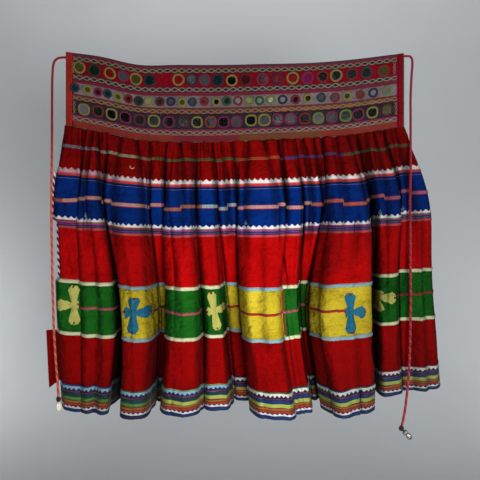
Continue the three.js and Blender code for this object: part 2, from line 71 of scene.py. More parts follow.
# Folds from left to right: right side at the waist, sides at the three lower levels, how far
# the face stands out there, how deep the hidden fold after it goes, pleats, length
FOLDS = [
    (-324, (-394, -338), (-384, -328), (-369, -322), (10, 27, 34), (-2, -18, -24), 1, 1.07),
    (-278, (-332, -287), (-320, -252), (-315, -266), (20, 50, 55), (8, 14, 16), 3, 1.05),
    (-186, (-280, -187), (-243, -167), (-238, -172), (30, 65, 80), (4, 5, 5), 3, 1.015),
    (-152, (-183, -155), (-163, -150), (-168, -158), (6, 0, 0), (4, 5, 5), 1, 1.002),
    (-90, (-149, -87), (-140, -69), (-148, -65), (30, 65, 80), (8, 4, -28), 2, 0.994),
    (-46, (-80, -40), (-61, -21), (-57, -3), (20, 45, 55), (4, 5, 5), 1, 0.994),
    (-5, (-34, 2), (-14, 9), (3, 31), (6, 0, 0), (4, 5, 5), 2, 0.998),
    (92, (9, 106), (17, 94), (38, 122), (30, 72, 90), (-2, -58, -72), 3, 1.006),
    (127, (113, 146), (111, 138), (138, 165), (22, 46, 60), (4, 5, 5), 1, 1.009),
    (170, (152, 187), (144, 154), (171, 180), (5, 0, 0), (4, 5, 5), 2, 1.01),
    (265, (194, 287), (161, 285), (187, 283), (30, 72, 88), (18, 38, 42), 4, 1.01),
    (322, (301, 352), (299, 344), (303, 354), (22, 44, 44), (-8, -30, -30), 2, 0.987),
    (370, (358, 414), (352, 423), (361, 438), (14, 38, 40), (6, 22, 24), 2, 0.982),
]
LAST_FOLD = len(FOLDS)
KNOTS_A_FOLD = 7
KNOTS_A_FACE = 4
KNOT_COUNT = KNOTS_A_FOLD * LAST_FOLD
SHOULDER = 0.16
FOLD_ROOT = 3.5
SIDE_DEPTH = 0.45
CROWN = 0.05
SHOULDER_CROWN = 0.02
EDGE_TURN = 14
RIGHT_EDGE_TURN = 12
PLEAT_DEPTH = 9.0
PLEAT_FULL_TO = 150.0
PLEAT_GONE_AT = 300.0
LEFT_MARGIN = 0.42
LEFT_MARGIN_OUT = 34.0
LEFT_MARGIN_BACK = 20.0
LEFT_MARGIN_DROP = 5.0
LEFT_MARGIN_HEM_DROP = 27.0
LEFT_END_IN = 12.0
LEFT_END_REACH = 0.3

# Drawstring routes, from the waistband corner to the free end
LEFT_CORD_ROUTE = [
    (-370.4, 0, -10), (-378, -1, -10.5), (-388, -4, -14), (-395, -6, -26), (-397, -8, -60),
    (-396, -12, -105), (-394, -18, -150), (-392, -24, -192), (-391, -28, -240), (-390, -33, -310),
    (-388, -38, -385), (-386, -40, -440), (-385, -41, -501), (-383, -42, -550), (-381, -43, -600),
    (-377, -44, -659), (-373, -45, -700), (-371, -45, -735),
]
RIGHT_CORD_ROUTE = [
    (370.5, 0, -7.5), (377, -1, -7.5), (383, -4, -10), (386, -7, -22), (383, -9, -60),
    (380, -13, -105), (378, -20, -150), (376, -26, -200), (374, -32, -260), (371, -38, -321),
    (369, -46, -390), (367, -53, -460), (366, -57, -530), (365, -58, -600), (363, -59, -660),
    (360, -60, -697), (357, -60, -728), (353, -60, -760), (347, -60, -790),
]


# Curves through points

def mix(a, b, share):
    return a + (b - a) * share


def ease(value, start, end):
    share = np.clip((value - start) / (end - start), 0, 1)
    return share * share * (3 - 2 * share)


def matched(*values):
    return np.broadcast_arrays(*[np.asarray(value, float) for value in values])


def unit(vectors):
    return vectors / (np.linalg.norm(vectors, axis=-1, keepdims=True) + 1e-9)


def hermite(start, slope_start, end, slope_end, share):
    square = share * share
    cube = square * share
    return (start * (2 * cube - 3 * square + 1) + slope_start * (cube - 2 * square + share)
            + end * (3 * square - 2 * cube) + slope_end * (cube - square))


def smooth_between(before, start, end, after, share):
    return hermite(start, (end - before) / 2, end, (after - start) / 2, share)


def smooth_through(places, values, place):
    """A smooth curve through unevenly spaced places. Values may have more axes than places."""
    places, values, place = [np.asarray(given, float) for given in (places, values, place)]
    last = len(places) - 1
    low = np.maximum(np.arange(last + 1) - 1, 0)
    high = np.minimum(np.arange(last + 1) + 1, last)
    gaps = (places[high] - places[low]).reshape((-1,) + (1,) * (values.ndim - 1))
    slopes = (values[high] - values[low]) / gaps
    index = np.clip(np.searchsorted(places, place, side="left") - 1, 0, last - 1)
    span = places[index + 1] - places[index]
    cells = () if values.ndim == 1 else tuple(np.indices(index.shape))
    here = (index, *cells)
    there = (index + 1, *cells)
    share = (place - places[index]) / span
    return hermite(values[here], slopes[here] * span, values[there], slopes[there] * span, share)


# Waistband surface

def band_top(across):
    return smooth_through(BAND_ACROSS, BAND_TOPS, across)


def band_base(across):
    return smooth_through(BAND_ACROSS, BAND_BASES, across)


def band_depth(across):
    share = (across + WAIST_HALF) / (2 * WAIST_HALF)
    return BAND_WAVE * np.sin(np.pi * share) * np.cos(5 * np.pi * share)


def band_surface(across, share):
    """Points of the band's middle surface: share 0 is its top edge, and 1 is its lower edge."""
    across, share = matched(across, share)
    height = mix(band_top(across), band_base(across), share)
    return np.stack([across, band_depth(across), height], axis=-1)


# Skirt surface

def fold_knots(index, level):
    fold = FOLDS[index]
    left, right = fold[1 + level]
    width = right - left
    face = -fold[4][level]
    first = index == 0
    last = index == LAST_FOLD - 1
    back_left = face + EDGE_TURN if first else FOLDS[index - 1][5][level]
    back_right = fold[5][level]
    root_left = left if first else (FOLDS[index - 1][1 + level][1] + left) / 2 + FOLD_ROOT
    if last:
        root_right = right - RIGHT_EDGE_TURN
    else:
        root_right = (right + FOLDS[index + 1][1 + level][0]) / 2 - FOLD_ROOT
    return [
        (root_left, back_left),
        (left, mix(face, back_left, SIDE_DEPTH)),
        (left + SHOULDER * width, face - SHOULDER_CROWN * width),
        ((left + right) / 2, face - CROWN * width),
        (right - SHOULDER * width, face - SHOULDER_CROWN * width),
        (right, mix(face, back_right, SIDE_DEPTH)),
        (root_right, back_right),
    ]


KNOTS = [
    np.array([knot for i in range(LAST_FOLD) for knot in fold_knots(i, level)], float)
    for level in range(3)
]
FOLD_EDGES = np.arange(LAST_FOLD + 1, dtype=float)
WAIST_PLACES = np.array([-WAIST_HALF] + [fold[0] for fold in FOLDS], float)
FOLD_MIDDLES = np.arange(LAST_FOLD) + 0.5
FOLD_LENGTHS = np.array([fold[7] for fold in FOLDS])
PLEATS = np.array([fold[6] for fold in FOLDS])
PLEAT_STARTS = np.concatenate([[0], np.cumsum(PLEATS)[:-1]])


def section(level, place):
    exact = np.clip(place, 0, LAST_FOLD) * (KNOT_COUNT - 1) / LAST_FOLD
    index = np.minimum(np.floor(exact).astype(int), KNOT_COUNT - 2)
    share = (exact - index)[..., None]
    knots = KNOTS[level]
    a, b, c, d = [knots[np.clip(index + k, 0, KNOT_COUNT - 1)] for k in (-1, 0, 1, 2)]
    return smooth_between(a, b, c, d, share)

def pleat_at(place):
    """The fold that a place is in, how many pleats along it the place is, and the pleat's number."""
    fold = np.clip(np.floor(place).astype(int), 0, LAST_FOLD - 1)
    along = (place - fold) * PLEATS[fold]
    number = PLEAT_STARTS[fold] + np.clip(np.floor(along).astype(int), 0, PLEATS[fold] - 1)
    return fold, along, number


# A pleat's face is nearly flat between two narrow grooves
GROOVE_SHARPNESS = 7
PLEAT_RISE = 1.15


def pleat_out(place, depth):
    _, along, number = pleat_at(place)
    # Each pleat's own strength, the same in each run
    wave = np.sin(number * 12.9898) * 43.7585
    strength = 0.7 + 0.6 * (wave - np.floor(wave))
    shape = 1 - np.abs(np.cos(np.pi * along)) ** GROOVE_SHARPNESS
    fading = 1 - ease(depth, PLEAT_FULL_TO, PLEAT_GONE_AT)
    return PLEAT_DEPTH * PLEAT_RISE * strength * shape * fading


def left_end_in(place, depth):
    """How far the middle red tier's left end is turned in, beside the twisted edging."""
    turned = (ease(depth, TIER["lower_trim"], TIER["middle_red"])
              * (1 - ease(depth, TIER["upper_piping"], TIER["patches"])))
    return LEFT_END_IN * turned * np.exp(-((place / LEFT_END_REACH) ** 2))


def skirt_base(place, depth):
    inside = np.clip(place, 0, LAST_FOLD)
    waist = smooth_through(FOLD_EDGES, WAIST_PLACES, inside)
    sections = [section(level, inside) for level in range(3)]
    across_values = np.stack([waist] + [s[..., 0] for s in sections])
    out_values = np.stack([band_depth(waist)] + [s[..., 1] for s in sections])
    across = smooth_through(LEVELS, across_values, depth) + left_end_in(inside, depth)
    out = smooth_through(LEVELS, out_values, depth) - pleat_out(inside, depth)
    lengths = smooth_through(FOLD_MIDDLES, FOLD_LENGTHS,
                             np.clip(inside, FOLD_MIDDLES[0], FOLD_MIDDLES[-1]))
    height = band_base(waist) - SEAM_GAP - depth * lengths
    beyond = np.clip(-place / LEFT_MARGIN, 0, 1)
    across = across - LEFT_MARGIN_OUT * beyond
    out = out + LEFT_MARGIN_BACK * np.sin(beyond * np.pi / 2)
    down = (depth - TIER["lower_red"]) / (TIER["hem_stripes"] - TIER["lower_red"])
    height = height - mix(LEFT_MARGIN_DROP, LEFT_MARGIN_HEM_DROP, down) * beyond
    return np.stack([across, out, height], axis=-1)


def face_place(fold, share):
    """The place at a share of a fold's face, where 0 is its left side and 1 its right side."""
    return (KNOTS_A_FOLD * fold + 1 + KNOTS_A_FACE * share) * LAST_FOLD / (KNOT_COUNT - 1)


# Main creases: fold, share of the face at the start and the end, depths of
# the start and the end, half width in millimetres, height (a ridge is above 0, a trough below)
CREASES = [
    (0, 0.45, 0.55, 150, 320, 12, -3.0), (0, 0.30, 0.60, 330, 560, 16, 3.0),
    (1, 0.55, 0.62, 170, 420, 7, 5.0), (1, 0.25, 0.20, 210, 330, 9, -2.5),
    (1, 0.80, 0.72, 400, 566, 10, 3.5), (1, 0.30, 0.45, 420, 566, 14, -3.5),
    (2, 0.52, 0.50, 150, 420, 6, 6.0), (2, 0.24, 0.30, 180, 330, 12, -3.0),
    (2, 0.62, 0.40, 410, 566, 13, 4.0), (2, 0.80, 0.78, 220, 540, 8, -3.0),
    (4, 0.20, 0.34, 150, 310, 6, -5.0), (4, 0.66, 0.60, 170, 300, 6, 5.0),
    (4, 0.78, 0.90, 260, 420, 8, 4.0), (4, 0.30, 0.15, 400, 566, 9, 4.0),
    (4, 0.55, 0.70, 420, 566, 10, -4.0), (4, 0.42, 0.46, 200, 290, 5, 3.0),
    (5, 0.50, 0.45, 160, 400, 7, 4.0), (5, 0.30, 0.60, 400, 560, 9, -4.0),
    (7, 0.56, 0.60, 180, 430, 5, 6.0), (7, 0.25, 0.22, 190, 320, 10, -2.5),
    (7, 0.85, 0.80, 220, 420, 6, -4.0), (7, 0.45, 0.50, 430, 566, 10, 5.0),
    (7, 0.20, 0.35, 440, 566, 12, -3.5), (7, 0.75, 0.62, 470, 566, 9, -3.0),
    (8, 0.50, 0.40, 170, 330, 6, 4.0), (8, 0.40, 0.60, 400, 566, 7, 3.0),
    (10, 0.36, 0.24, 150, 430, 6, 5.5), (10, 0.52, 0.40, 180, 310, 6, -4.0),
    (10, 0.70, 0.56, 160, 430, 6, 6.0), (10, 0.88, 0.84, 180, 420, 7, 4.5),
    (10, 0.62, 0.70, 220, 330, 5, -4.0), (10, 0.30, 0.45, 430, 566, 12, 4.0),
    (10, 0.65, 0.60, 440, 566, 10, -4.0), (10, 0.82, 0.86, 450, 566, 8, 3.5),
    (11, 0.60, 0.50, 150, 400, 8, 3.5), (11, 0.30, 0.36, 220, 420, 7, -3.0),
    (11, 0.50, 0.66, 420, 566, 9, -3.5),
    (12, 0.32, 0.28, 160, 430, 6, 5.0), (12, 0.62, 0.72, 200, 430, 6, -5.0),
    (12, 0.80, 0.76, 300, 540, 7, 4.0), (12, 0.45, 0.40, 420, 566, 10, 4.0),
]
FACE_WIDTH_SHARE = KNOTS_A_FACE * LAST_FOLD / (KNOT_COUNT - 1)
CREASE_FADE = 45.0


# Flat facets of the lobes' faces, between bends pressed into the cloth: fold, then each bend's
# share of the face below the pleats and at the hem, and its height in millimetres
FACETS = [
    (0, [(-0.1, -0.1, 0), (0, 0, -4), (0.90, 0.92, 7), (1.06, 1.06, 0)]),
    (1, [(-0.06, -0.06, 0), (0.02, 0.02, 6), (0.48, 0.42, -4), (0.80, 0.76, 5), (1, 1, -2), (1.1, 1.1, 0)]),
    (2, [(-0.1, -0.1, 0), (0, 0, -4), (0.47, 0.50, 8), (1, 1, -4), (1.1, 1.1, 0)]),
    (4, [(-0.1, -0.1, 0), (0.02, 0.05, 5), (0.27, 0.30, -3), (0.46, 0.52, 7),
         (0.92, 0.95, -4), (1.1, 1.1, 0)]),
    (5, [(-0.1, -0.1, 0), (0.05, 0.1, 5), (0.62, 0.56, 0), (0.95, 0.95, -4), (1.1, 1.1, 0)]),
    (7, [(-0.1, -0.1, 0), (0, 0, 4), (0.50, 0.36, -4), (0.84, 0.76, 6), (1, 1, 1), (1.1, 1.1, 0)]),
    (8, [(-0.1, -0.1, 0), (0.05, 0.05, 5), (0.85, 0.85, -3), (1.1, 1.1, 0)]),
    (10, [(-0.06, -0.06, 0), (0, 0, 3), (0.13, 0.20, -3), (0.31, 0.36, 7), (0.555, 0.62, 1),
          (0.585, 0.65, -5), (0.80, 0.84, 5), (1, 1, -3), (1.06, 1.06, 0)]),
    (11, [(-0.1, -0.1, 0), (0, 0, -3), (0.5, 0.5, 4), (1, 1, 0)]),
    (12, [(-0.06, -0.06, 0), (0, 0, 4), (0.30, 0.30, -2), (0.55, 0.50, 6), (0.64, 0.60, -3), (1, 1, 3)]),
]
FACET_HEIGHT = 1.4
FACETS_FROM = 110.0
FACETS_TO = 210.0


def facet_out(place, depth):
    """Heights of the facets: depth is the same along a row of the grid."""
    total = np.zeros(place.shape)
    for fold, bends in FACETS:
        heights = [bend[2] for bend in bends]
        for j in range(len(place)):
            down = ease(depth[j, 0], FACETS_TO, TIER["end"])
            places = [face_place(fold, mix(bend[0], bend[1], down)) for bend in bends]
            total[j] += np.interp(place[j], places, heights, left=0, right=0)
    return FACET_HEIGHT * total * ease(depth, FACETS_FROM, FACETS_TO)


def gathers(count, depths, lengths, widths, heights, slant):
    """Small gathers at random places: place, depth of the start, length, width, height, slant."""
    return np.column_stack([
        random.uniform(0, LAST_FOLD, count), random.uniform(*depths, count),
        random.uniform(*lengths, count), random.uniform(*widths, count),
        random.uniform(*heights, count), random.normal(0, slant, count),
    ])


# Fine gathers under the waistband, and slighter drags further down
GATHERS = np.concatenate([
    gathers(120, (-40, -10), (55, 130), (0.040, 0.070), (1.8, 3.8), 0.0009),
    gathers(90, (-30, 40), (60, 120), (0.045, 0.08), (-3.2, -1.6), 0.0010),
    gathers(70, (90, 260), (60, 150), (0.05, 0.10), (-2.2, 2.4), 0.0006),
    gathers(70, (280, 480), (70, 160), (0.06, 0.14), (-2.6, 2.6), 0.0010),
])


def crease_out(place, depth):
    total = np.zeros(np.broadcast(place, depth).shape)
    for fold, start, end, top, bottom, width, height in CREASES:
        left, right = FOLDS[fold][2]
        half = width / (right - left) * FACE_WIDTH_SHARE
        along = np.clip((depth - top) / (bottom - top), 0, 1)
        centre = face_place(fold, mix(start, end, along))
        inside = ease(depth, top - CREASE_FADE, top + CREASE_FADE)
        if bottom < TIER["end"]:
            inside = inside * (1 - ease(depth, bottom - CREASE_FADE, bottom + CREASE_FADE))
        distance = np.abs(place - centre) / half
        total += height * inside * np.exp(-distance ** 1.5)
    for centre, top, length, width, height, slant in GATHERS:
        middle = centre + slant * (depth - top)
        fade = ease(depth, top, top + 0.25 * length) * (1 - ease(depth, top + 0.5 * length, top + length))
        total += height * fade * np.exp(-((place - middle) / width) ** 2)
    return total


NORMAL_STEP = 0.01
CREASES_END = -0.10
SMOOTH_FROM = 0.12


def creased_surface(place, depth):
    """Points of the skirt's middle surface, creases included."""
    point = skirt_base(place, depth)
    sideways = skirt_base(place + NORMAL_STEP, depth) - skirt_base(place - NORMAL_STEP, depth)
    normal = unit(np.stack([sideways[..., 1], -sideways[..., 0], np.zeros(place.shape)], axis=-1))
    margin = ease(-place, CREASES_END, SMOOTH_FROM)
    out = crease_out(place, depth) + facet_out(place, depth)
    return point + normal * (out * (1 - margin))[..., None]


def square_to(points):
    """Directions square to a grid of points whose rows run down the cloth."""
    return unit(np.cross(np.gradient(points, axis=0), np.gradient(points, axis=1)))


# The surface is worked out once on a fine grid, which every piece of the skirt reads
GRID_STEPS_A_FOLD = 100
GRID_DEPTH_STEP = 2.0
GRID_PLACES = np.arange(-LEFT_MARGIN * GRID_STEPS_A_FOLD, LAST_FOLD * GRID_STEPS_A_FOLD + 1)
GRID_PLACES /= GRID_STEPS_A_FOLD
GRID_DEPTHS = np.arange(-4.0, TIER["end"] + 6.0, GRID_DEPTH_STEP)
GRID_POINTS = creased_surface(*np.meshgrid(GRID_PLACES, GRID_DEPTHS))
GRID_NORMALS = square_to(GRID_POINTS)


def look_up(grid, place, depth, every_column=1, every_row=1):
    """The value between points of the grid, or of one that has only every so many of its points."""
    place, depth = matched(place, depth)
    column = (place - GRID_PLACES[0]) * GRID_STEPS_A_FOLD / every_column
    row = (depth - GRID_DEPTHS[0]) / GRID_DEPTH_STEP / every_row
    column = np.clip(column, 0, grid.shape[1] - 1.001)
    row = np.clip(row, 0, grid.shape[0] - 1.001)
    i, j = column.astype(int), row.astype(int)
    u, v = column - i, row - j
    if grid.ndim == 3:
        u, v = u[..., None], v[..., None]
    return mix(mix(grid[j, i], grid[j, i + 1], u), mix(grid[j + 1, i], grid[j + 1, i + 1], u), v)


def skirt_surface(place, depth):
    return look_up(GRID_POINTS, place, depth)


def on_skirt(place, depth, lift):
    normal = unit(look_up(GRID_NORMALS, place, depth))
    return skirt_surface(place, depth) + normal * np.asarray(lift)[..., None], normal


def on_band(across, share, lift):
    across, share = matched(across, share)
    along = band_surface(across + 1, share) - band_surface(across - 1, share)
    down = band_surface(across, share + 0.01) - band_surface(across, share - 0.01)
    normal = unit(np.cross(down, along))
    return band_surface(across, share) + normal * np.asarray(lift)[..., None], normal


# Painted shade inside the folds: each point's colour is darkened by how far it lies between its
# neighbours' faces on both sides, and by how far it is turned away from the front
FOLD_SLOPE = 0.75
PANEL_FROM = 3.0
PANEL_TO = 50.0
PANEL_DARKNESS = 0.26
DEEP_FROM = 62.0
DEEP_TO = 100.0
DEEP_DARKNESS = 0.50
WALL_FROM = 2.0
WALL_TO = 18.0
WALL_TURN_FROM = 0.50
WALL_TURN_TO = 0.92
WALL_DARKNESS = 0.32
TURN_FROM = 0.25
TURN_TO = 0.85
TURN_DARKNESS = 0.25
GROOVE_DARKNESS = 0.42
GROOVE_NARROWNESS = 18
# Painted shade that darkens the cloth towards both ends of the skirt, by place
PAINTED_END_SHADE_PLACES = (0, 2, 4, 7, 10, 11, 13)
PAINTED_END_SHADES = (0.86, 0.87, 0.97, 1.03, 1.0, 0.78, 0.76)
SHADE_EVERY_COLUMN = 4
SHADE_EVERY_ROW = 12


# Painted shade of the folds, worked out on every few points of the grid
def painted_fold_shades():
    rows = GRID_POINTS[::SHADE_EVERY_ROW, ::SHADE_EVERY_COLUMN]
    turns = np.abs(GRID_NORMALS[::SHADE_EVERY_ROW, ::SHADE_EVERY_COLUMN, 0])
    shades = []
    for row, turned in zip(rows, turns):
        apart = row[None, :, 0] - row[:, None, 0]
        hood = row[:, None, 1] - row[None, :, 1] - FOLD_SLOPE * np.abs(apart)
        left = np.where(apart <= 0, hood, 0).max(axis=1)
        right = np.where(apart >= 0, hood, 0).max(axis=1)
        inside = np.minimum(left, right)
        panel = PANEL_DARKNESS * ease(inside, PANEL_FROM, PANEL_TO)
        deep = DEEP_DARKNESS * ease(inside, DEEP_FROM, DEEP_TO)
        wall = ease(turned, WALL_TURN_FROM, WALL_TURN_TO) * ease(inside, WALL_FROM, WALL_TO)
        side = TURN_DARKNESS * ease(turned, TURN_FROM, TURN_TO)
        shades.append((1 - panel - deep) * (1 - WALL_DARKNESS * wall) * (1 - side))
    return np.array(shades)


COARSE_PAINTED_SHADES = painted_fold_shades()


def painted_groove_shade(place, depth):
    """Painted shade in the narrow grooves between the pleats."""
    fold, along, _ = pleat_at(place)
    groove = np.abs(np.cos(np.pi * along)) ** GROOVE_NARROWNESS
    strength = 0.6 + 0.4 * np.sin(np.round(along) * 2.7 + fold * 1.9)
    fading = 1 - ease(depth, PLEAT_FULL_TO - 20, PLEAT_GONE_AT - 40)
    return 1 - GROOVE_DARKNESS * strength * groove * fading


# Painted shade for the cloth at any place and depth: the folds', the grooves' and the ends' painted shade
# in one factor
def painted_fold_shade(place, depth):
    place, depth = matched(place, depth)
    coarse = look_up(COARSE_PAINTED_SHADES, place, depth, SHADE_EVERY_COLUMN, SHADE_EVERY_ROW)
    return coarse * painted_groove_shade(place, depth) * np.interp(place, PAINTED_END_SHADE_PLACES, PAINTED_END_SHADES)


# Meshes

LINEAR_GAMMA = 2.2
CLOTH_UNIT = 0.01


def linear(colour):
    return tuple(channel ** LINEAR_GAMMA for channel in colour)


class Mesh:
    """Gathers points, faces, a colour for each point and a cloth coordinate for each point."""

    def __init__(self):
        self.points, self.faces, self.tints, self.cloth = [], [], [], []
        self.count = 0

    def add(self, points, faces, tint=(1, 1, 1), cloth=None):
        points = np.asarray(points, float).reshape(-1, 3)
        tints = np.broadcast_to(np.asarray(tint, float), (len(points), 3))
        self.points.append(points)
        self.faces.append(np.asarray(faces, int).reshape(-1, 4) + self.count)
        self.tints.append(tints)
        self.cloth.append(points[:, [0, 2]] if cloth is None else np.asarray(cloth).reshape(-1, 2))
        self.count += len(points)

    def tone(self, factor):
        self.tints = [tints * factor for tints in self.tints]

    def make(self, name, material, node=None, smooth=True):
        """An object that rides on the part's root, and stands for the solid of node."""
        faces = np.concatenate(self.faces)
        triangles = faces[:, 2] == faces[:, 3]
        loops = [row[:3] if flag else row for row, flag in zip(faces.tolist(), triangles)]
        data = bpy.data.meshes.new(name)
        data.from_pydata((np.concatenate(self.points) * MM).tolist(), [], loops)
        tints = np.concatenate(self.tints)
        rgba = np.concatenate([tints ** LINEAR_GAMMA, np.ones((len(tints), 1))], axis=1)
        colour = data.color_attributes.new("tint", "FLOAT_COLOR", "POINT")
        colour.data.foreach_set("color", rgba.astype(np.float32).ravel())
        index = np.zeros(len(data.loops), np.int32)
        data.loops.foreach_get("vertex_index", index)
        cloth = np.concatenate(self.cloth)[index] * CLOTH_UNIT
        layer = data.uv_layers.new(name="cloth")
        layer.data.foreach_set("uv", cloth.astype(np.float32).ravel())
        data.polygons.foreach_set("use_smooth", np.full(len(data.polygons), smooth))
        data.materials.append(material)
        data.update()
        piece = bpy.data.objects.new(name, data)
        bpy.context.collection.objects.link(piece)
        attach(piece, "root")
        if node:
            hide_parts(node)
        return piece


def around(count):
    """Even angles of a whole turn."""
    return np.linspace(0, 2 * np.pi, count, endpoint=False)


def quads(*corners):
    return np.stack(corners, axis=-1).reshape(-1, 4)


def grid_faces(rows, columns, flip=False):
    corner = np.arange(rows * columns).reshape(rows, columns)
    a, b = corner[:-1, :-1], corner[:-1, 1:]
    c, d = corner[1:, 1:], corner[1:, :-1]
    return quads(a, b, c, d) if flip else quads(a, d, c, b)


def ring_grid(rows, columns):
    """Corners of rows that close on themselves, the corner after each, and the faces between."""
    corner = np.arange(rows * columns).reshape(rows, columns)
    after = np.roll(corner, -1, axis=1)
    return corner, after, quads(corner[:-1], after[:-1], after[1:], corner[1:])


def shell(mesh, points, thickness, cloth, tint=(1, 1, 1), lift=0.0):
    """A thin closed shell on a grid of points, whose rows run down the cloth."""
    rows, columns = points.shape[:2]
    normal = square_to(points)
    walls = np.stack([points + normal * (lift + side * thickness / 2) for side in (1, -1)])
    corner = np.arange(rows * columns).reshape(rows, columns)
    rim = np.concatenate([corner[0, :], corner[1:, -1], corner[-1, -2::-1], corner[-2:0:-1, 0]])
    after = np.roll(rim, -1)
    behind = rows * columns
    faces = np.concatenate([grid_faces(rows, columns), grid_faces(rows, columns, True) + behind,
                            quads(rim, after, after + behind, rim + behind)])
    tints = np.broadcast_to(np.asarray(tint, float), (2, rows, columns, 3)).reshape(-1, 3)
    mesh.add(walls, faces, tints, np.stack([cloth, cloth]))


SWEEP_PROFILE = [(-1.0, 0.0), (-0.72, 0.7), (0.0, 1.0), (0.72, 0.7), (1.0, 0.0)]


def sweep(mesh, points, normals, half_width, height, tint, closed=False):
    """Raised threads or ribbons along paths: points and normals are paths × points × 3."""
    paths, length = points.shape[:2]
    if closed:
        forward = np.roll(points, -1, axis=1) - np.roll(points, 1, axis=1)
    else:
        forward = np.gradient(points, axis=1)
    side = unit(np.cross(forward, normals))
    half = np.broadcast_to(np.asarray(half_width, float), (paths, length))[..., None]
    rise = np.broadcast_to(np.asarray(height, float), (paths, length))[..., None]
    rings = np.stack([points + side * half * s + normals * rise * h for s, h in SWEEP_PROFILE], axis=2)
    ring = len(SWEEP_PROFILE)
    base = np.arange(paths * length * ring).reshape(paths, length, ring)
    following = np.roll(base, -1, axis=1) if closed else base[:, 1:]
    current = base if closed else base[:, :-1]
    faces = quads(current[..., :-1], following[..., :-1], following[..., 1:], current[..., 1:])
    tint = np.asarray(tint, float)
    tint = tint[:, None] if tint.ndim == 2 else tint
    tints = np.broadcast_to(tint, (paths, length, 3)).reshape(-1, 3)
    mesh.add(rings, faces, np.repeat(tints, ring, axis=0))


# Even spacing along the cloth

def run_lengths(points):
    return np.concatenate([[0], np.cumsum(np.linalg.norm(np.diff(points, axis=0), axis=1))])


ROW_POINTS = 6000
CUT_POINTS = 4000


def arc_table(surface, start, depth, count):
    """Places from start to the right edge at one depth, and the length of cloth up to each."""
    places = np.linspace(start, LAST_FOLD, count)
    return places, run_lengths(surface(places, np.full(count, float(depth))))


class Row:
    """Even distances along the skirt at one depth."""

    def __init__(self, depth):
        self.depth = depth
        self.places, self.lengths = arc_table(skirt_surface, 0.0, depth, ROW_POINTS)
        self.total = self.lengths[-1]

    def place(self, distance):
        return np.interp(distance, self.lengths, self.places)

    def distance(self, place):
        return np.interp(place, self.places, self.lengths)


# Materials

class Nodes:
    """A material's nodes, added and linked by short calls."""

    def __init__(self, name):
        self.material = bpy.data.materials.new(name)
        self.material.use_nodes = True
        self.tree = self.material.node_tree
        self.shader = self.tree.nodes["Principled BSDF"]
        self.place = self.node("ShaderNodeTexCoord").outputs["Object"]

    def feed(self, sockets, values):
        """Links or sets sockets: values are other nodes' sockets, or numbers."""
        for key, value in values.items():
            if isinstance(value, bpy.types.NodeSocket):
                self.tree.links.new(value, sockets[key])
            else:
                sockets[key].default_value = value

    def node(self, kind, values=None, **settings):
        made = self.tree.nodes.new(kind)
        for key, value in settings.items():
            setattr(made, key, value)
        self.feed(made.inputs, values or {})
        return made

    def colour(self, value):
        made = self.node("ShaderNodeRGB").outputs[0]
        made.default_value = (*linear(value), 1)
        return made

    # Each point's colour: the cloth's or thread's own colour with painted shade in it, and on the mirrors a
    # painted reflection
    def dye_and_painted_light(self):
        return self.node("ShaderNodeAttribute", attribute_name="tint").outputs["Color"]

    def noise(self, vector, scale, detail=3.0, roughness=0.55):
        values = {"Vector": vector, "Scale": scale, "Detail": detail, "Roughness": roughness}
        return self.node("ShaderNodeTexNoise", values).outputs["Fac"]

    def math(self, operation, *values):
        return self.node("ShaderNodeMath", dict(enumerate(values)), operation=operation).outputs[0]

    def vectors(self, operation, values):
        return self.node("ShaderNodeVectorMath", values, operation=operation).outputs[0]

    def range(self, value, low, high, start, end):
        values = {"Value": value, "From Min": low, "From Max": high, "To Min": start, "To Max": end}
        return self.node("ShaderNodeMapRange", values).outputs["Result"]

    def tint(self, colour, factor, other):
        """colour, shifted towards the other one by factor."""
        values = {"Factor": factor, "A": colour, "B": (*linear(other), 1)}
        return self.node("ShaderNodeMix", values, data_type="RGBA").outputs["Result"]

    def brightness(self, colour, factor):
        return self.vectors("SCALE", {0: colour, "Scale": factor})

    def bump(self, height, strength, distance):
        values = {"Height": height, "Strength": strength, "Distance": distance}
        self.feed(self.shader.inputs, {"Normal": self.node("ShaderNodeBump", values).outputs["Normal"]})

    def finish(self, colour, **values):
        self.feed(self.shader.inputs, {"Base Color": colour})
        self.feed(self.shader.inputs, {key.replace("_", " "): value for key, value in values.items()})
        return self.material


WEAVE_ACROSS = 600.0
WEAVE_DOWN = 560.0


def cotton(name, light, dark, faded, crumple=1.0):
    """Woven cotton: a fine weave, washed-out patches, and small crumples."""
    m = Nodes(name)
    cloth = m.node("ShaderNodeUVMap", uv_map="cloth").outputs["UV"]
    split = m.node("ShaderNodeSeparateXYZ", {0: cloth}).outputs
    threads_across = m.math("SINE", m.math("MULTIPLY", split["X"], WEAVE_ACROSS))
    threads_down = m.math("SINE", m.math("MULTIPLY", split["Y"], WEAVE_DOWN))
    weave = m.math("MULTIPLY", threads_across, threads_down)
    blotches = m.range(m.noise(m.place, 14.0), 0.35, 0.75, 0.0, 0.7)
    slubs = m.range(m.noise(cloth, 9.0, 4.0, 0.7), 0.55, 0.85, 0.0, 0.45)
    colour = m.tint(m.tint(m.colour(light), blotches, dark), slubs, faded)
    colour = m.brightness(colour, m.range(weave, -1.0, 1.0, 0.90, 1.06))
    stretched = m.vectors("MULTIPLY", {0: m.place, 1: (12.0, 12.0, 44.0)})
    height = m.math("MULTIPLY", weave, 0.021)
    for crumples, share in ((m.noise(m.place, 75.0, 5.0, 0.62), 1.2), (m.noise(stretched, 1.0), 1.8),
                            (m.noise(m.place, 24.0, 2.0, 0.5), 2.4)):
        height = m.math("MULTIPLY_ADD", crumples, share * crumple, height)
    m.bump(height, 0.95, 0.0085)
    # The points' colours bring in the painted shade of the folds
    return m.finish(m.vectors("MULTIPLY", {0: colour, 1: m.dye_and_painted_light()}), Roughness=0.88, Sheen_Weight=0.0,
                    Specular_IOR_Level=0.07)


